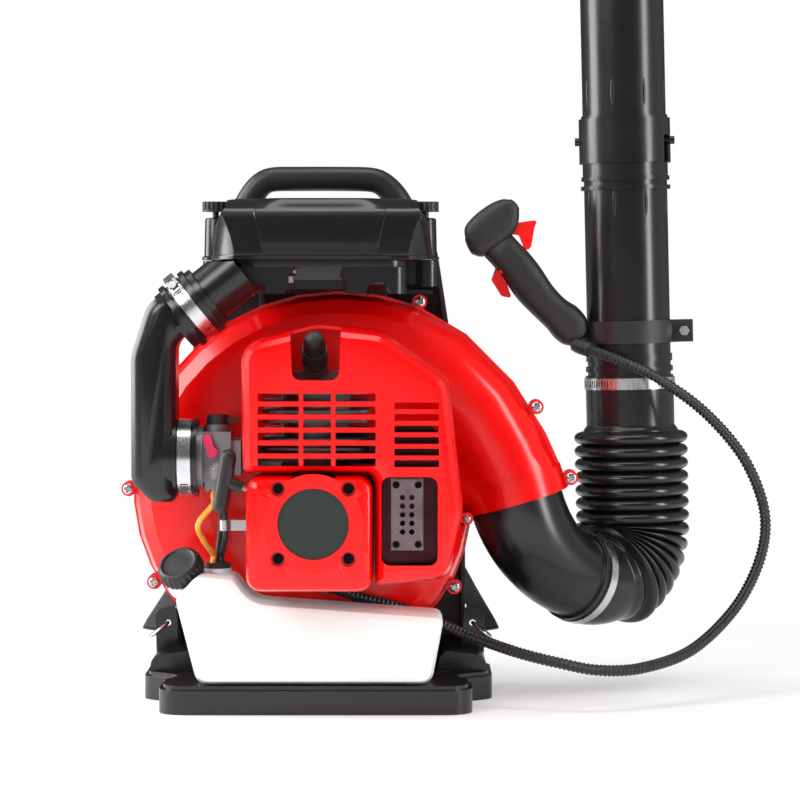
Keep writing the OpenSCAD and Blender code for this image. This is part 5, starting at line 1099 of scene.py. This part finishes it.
# Place in X and Z, front of the flat head in Y, and radius
CASE_SCREWS = [
    (129.9, 105.0, 15.5, 5.0), (56.2, 40.9, 15.5, 5.0), (-53.6, 32.6, 15.5, 5.0), (-157.7, 109.8, 15.5, 5.0),
    (-181.85, 199.1, 15.5, 5.0), (-100.7, 354.4, 15.5, 5.0), (96.8, 378.1, 15.5, 5.0),
    (208.5, 277.6, 15.5, 5.0), (141.6, 172.5, -11.5, 3.5), (241.5, 209.8, 13.5, 5.0)]
for index, place in enumerate(CASE_SCREWS):
    cross_head(f"case_screw_head_{index}", *place, tall=2.0)


# ---------- Rigid pieces: the solids, welded and given rounded edges ----------

# The frame's bar gives way to the round one above this height
CUT_ABOVE = {"back_frame": 451.4}
CORNER, FLAT = math.radians(30), math.radians(0.4)


def dressed(node, edge, material):
    """Copy of a solid in its place: its doubles are merged, its flat facets joined, and every corner sharper
    than the angle gets a round of the given width in millimetres."""
    source = nodes[node]
    shape = bmesh.new()
    shape.from_mesh(source.data)
    bmesh.ops.remove_doubles(shape, verts=shape.verts, dist=1e-5)
    bmesh.ops.dissolve_limit(shape, angle_limit=FLAT, verts=shape.verts, edges=shape.edges)
    if node in CUT_ABOVE:
        whole = shape.verts[:] + shape.edges[:] + shape.faces[:]
        cut = bmesh.ops.bisect_plane(shape, geom=whole, plane_co=(0, 0, CUT_ABOVE[node] * MM),
                                     plane_no=(0, 0, 1), clear_outer=True)
        rim = [item for item in cut["geom_cut"] if isinstance(item, bmesh.types.BMEdge)]
        bmesh.ops.edgenet_fill(shape, edges=rim)
        bmesh.ops.recalc_face_normals(shape, faces=shape.faces)
    mesh = bpy.data.meshes.new(node + "_shell")
    shape.to_mesh(mesh)
    shape.free()
    for name in ("custom_normal", "sharp_face", "sharp_edge"):
        if name in mesh.attributes:
            mesh.attributes.remove(mesh.attributes[name])
    piece = put_up(node + "_shell", mesh)
    mesh.shade_smooth()
    mesh.set_sharp_from_angle(angle=CORNER)
    if edge:
        bevel = piece.modifiers.new("rounded_edges", "BEVEL")
        bevel.width = edge * MM
        bevel.segments = 2
        bevel.limit_method = "ANGLE"
        bevel.angle_limit = CORNER
        bevel.harden_normals = True
        bevel.use_clamp_overlap = True
    settle(piece, node, material)


UPPER_CUFF = MM * np.array([-112, -92, 374])
UPPER_CUFF_DIR = unit(np.array([0.78, 0, 0.62]))
# Centre, axis, count of slots, half width, radius, and the coordinate and stretch that hold the slots
BANDS = {
    "upper_duct_clamp": (UPPER_CUFF - 1 * MM * UPPER_CUFF_DIR, UPPER_CUFF_DIR, 60, 6 * MM, 30.3 * MM,
                         "Z", 0.386, 0.5),
    "lower_duct_clamp": (MM * np.array([-119.5, -92, 236]), (1, 0, 0), 66, 6 * MM, 34.3 * MM, "Z", 0.1, 0.214),
    "elbow_clamp": (ELBOW_END + 9.5 * MM * ELBOW_END_DIR, ELBOW_END_DIR, 84, 4.5 * MM, 43.7 * MM,
                    "Y", 0.086, 0.3),
    "hose_top_clamp": (HOSE_TOP - 7.5 * MM * PIPE_DIR, PIPE_DIR, 84, 5.5 * MM, 43.7 * MM, "X", 0.1, 0.284),
}
BAND_FINISH = {node: slotted_band(node + "_band", *band) for node, band in BANDS.items()}

# Width of the round on a solid's corners, in millimetres, and the solids
ROUNDED = {
    1.6:  "stand_base",
    1.4:  "back_frame",
    0.9:  "engine_cover starter_case air_cleaner_case",
    0.8:  "vibration_mounts crankcase starter_grip fuel_tank intake_duct",
    0.7:  "fan_case_rear fan_case_front plug_boot throttle_trigger",
    0.6:  "muffler carburettor straight_pipe nozzle handle_clamp lock_lever",
    0.5:  "inlet_guard case_screws starter_disc cover_screws fan_rotor starter_pulley tank_grommet "
         "throttle_lever cover_knob_left cover_knob_right swivel_pipe clamp_bolt stop_switch",
    0.4:  "cylinder_block spark_plug choke_lever filter_element elbow",
    0.3:  "line_clip primer_bulb",
    0.25: "upper_duct_clamp lower_duct_clamp elbow_clamp hose_top_clamp",
    0:    "strap_hook_left strap_hook_right",
}
OWN_FINISH = {"starter_disc": DISC_GREEN, "cover_screws": WELL_SHADE_SCREWS, "muffler": muffler_painted_shade(),
              **BAND_FINISH}
for edge, names in ROUNDED.items():
    for node in names.split():
        dressed(node, edge, OWN_FINISH.get(node))


# ---------- Floor and light ----------

FLOOR_FADE_FROM, FLOOR_FADE_TO = 0.55, 1.25
FLOOR_DROP = 0.0004


def floor_material():
    """Matt pale floor. Towards the camera it fades with distance into plain white, so it has no horizon."""
    b = Bench(name="pale_floor", Roughness=0.6, IOR=1.2, Base_Color=rgb(0.90, 0.90, 0.90))
    flat = b.put("VectorMath", {0: b.put("TexCoord").outputs["Object"], 1: (1, 1, 0)},
                 operation="MULTIPLY").outputs[0]
    away = b.put("VectorMath", {0: flat}, operation="LENGTH").outputs["Value"]
    fade = b.put("MapRange", {"Value": away, "From Min": FLOOR_FADE_FROM, "From Max": FLOOR_FADE_TO,
                              "To Min": 0.30, "To Max": 1.0}, interpolation_type="SMOOTHSTEP").outputs[0]
    seen = b.put("LightPath").outputs["Is Camera Ray"]
    white = b.put("Emission", {"Color": rgb(1, 1, 1), "Strength": 1.0}).outputs[0]
    mixed = b.put("MixShader", {0: b.times(fade, seen), 1: b.shader.outputs[0], 2: white})
    b.tree.links.new(mixed.outputs[0], b.tree.nodes["Material Output"].inputs["Surface"])
    return b.material


def surround():
    """White to the eye. In gloss it is dim straight ahead and behind and bright at the sides and above, so
    that dark mouldings stay dark and are edged with light."""
    world = bpy.data.worlds.new("studio_surround")
    bpy.context.scene.world = world
    world.use_nodes = True
    b = Bench(world.node_tree)
    path = b.put("LightPath").outputs
    ray = b.split("Generated")
    ahead = b.math("ABSOLUTE", ray["Y"])
    gloss = b.times(b.span(ahead, 0.40, 0.80, 0.50, 0.10), b.span(ray["Z"], 0.35, 0.90, 1.0, 0.5))
    seen = b.math("MAXIMUM", path["Is Camera Ray"], path["Is Transmission Ray"])
    unseen = b.put("Mix", {0: path["Is Glossy Ray"], 2: 0.42, 3: gloss}, data_type="FLOAT").outputs[0]
    shown = world.node_tree.nodes["Background"]
    shown.inputs["Color"].default_value = rgb(1, 1, 1)
    world.node_tree.links.new(b.math("MAXIMUM", seen, unseen), shown.inputs["Strength"])


def studio():
    """Pale floor, white surround, four soft lamps and a matt fill that leaves no gleam."""
    mesh = bpy.data.meshes.new("studio_floor")
    mesh.from_pydata([(-14, -9, 0), (14, -9, 0), (14, 19, 0), (-14, 19, 0)], [], [(0, 1, 2, 3)])
    floor = put_up("studio_floor", mesh)
    floor.location.z = -FLOOR_DROP
    mesh.materials.append(floor_material())
    surround()
    for name, at, aim, size, power in (
            ("key_left", (-2.0, -2.2, 2.0), (0, 0, 0.25), (1.4, 1.4), 54),
            ("strip_right", (2.2, -1.0, 0.9), (0.15, 0, 0.35), (0.5, 1.8), 34),
            ("strip_left", (-1.6, 0.2, 0.9), (0, 0, 0.35), (0.9, 1.6), 40),
            ("top_soft", (0.1, -0.3, 2.6), (0.1, 0, 0.3), (1.8, 1.2), 28),
            ("fill_matt", (-0.3, -2.3, 0.35), (0, 0, 0.36), (1.6, 0.4), 9)):
        lamp = bpy.data.lights.new(name, "AREA")
        lamp.shape = "RECTANGLE"
        lamp.size, lamp.size_y = size
        lamp.energy = power
        holder = put_up(name, lamp)
        holder.location = at
        toward = np.array(aim) - np.array(at)
        distance = np.linalg.norm(toward)
        holder.rotation_euler = (math.acos(-toward[2] / distance), 0,
                                 math.atan2(toward[1], toward[0]) - math.pi / 2)
        holder.visible_glossy = name != "fill_matt"


studio()
bpy.context.scene.view_settings.view_transform = "Standard"
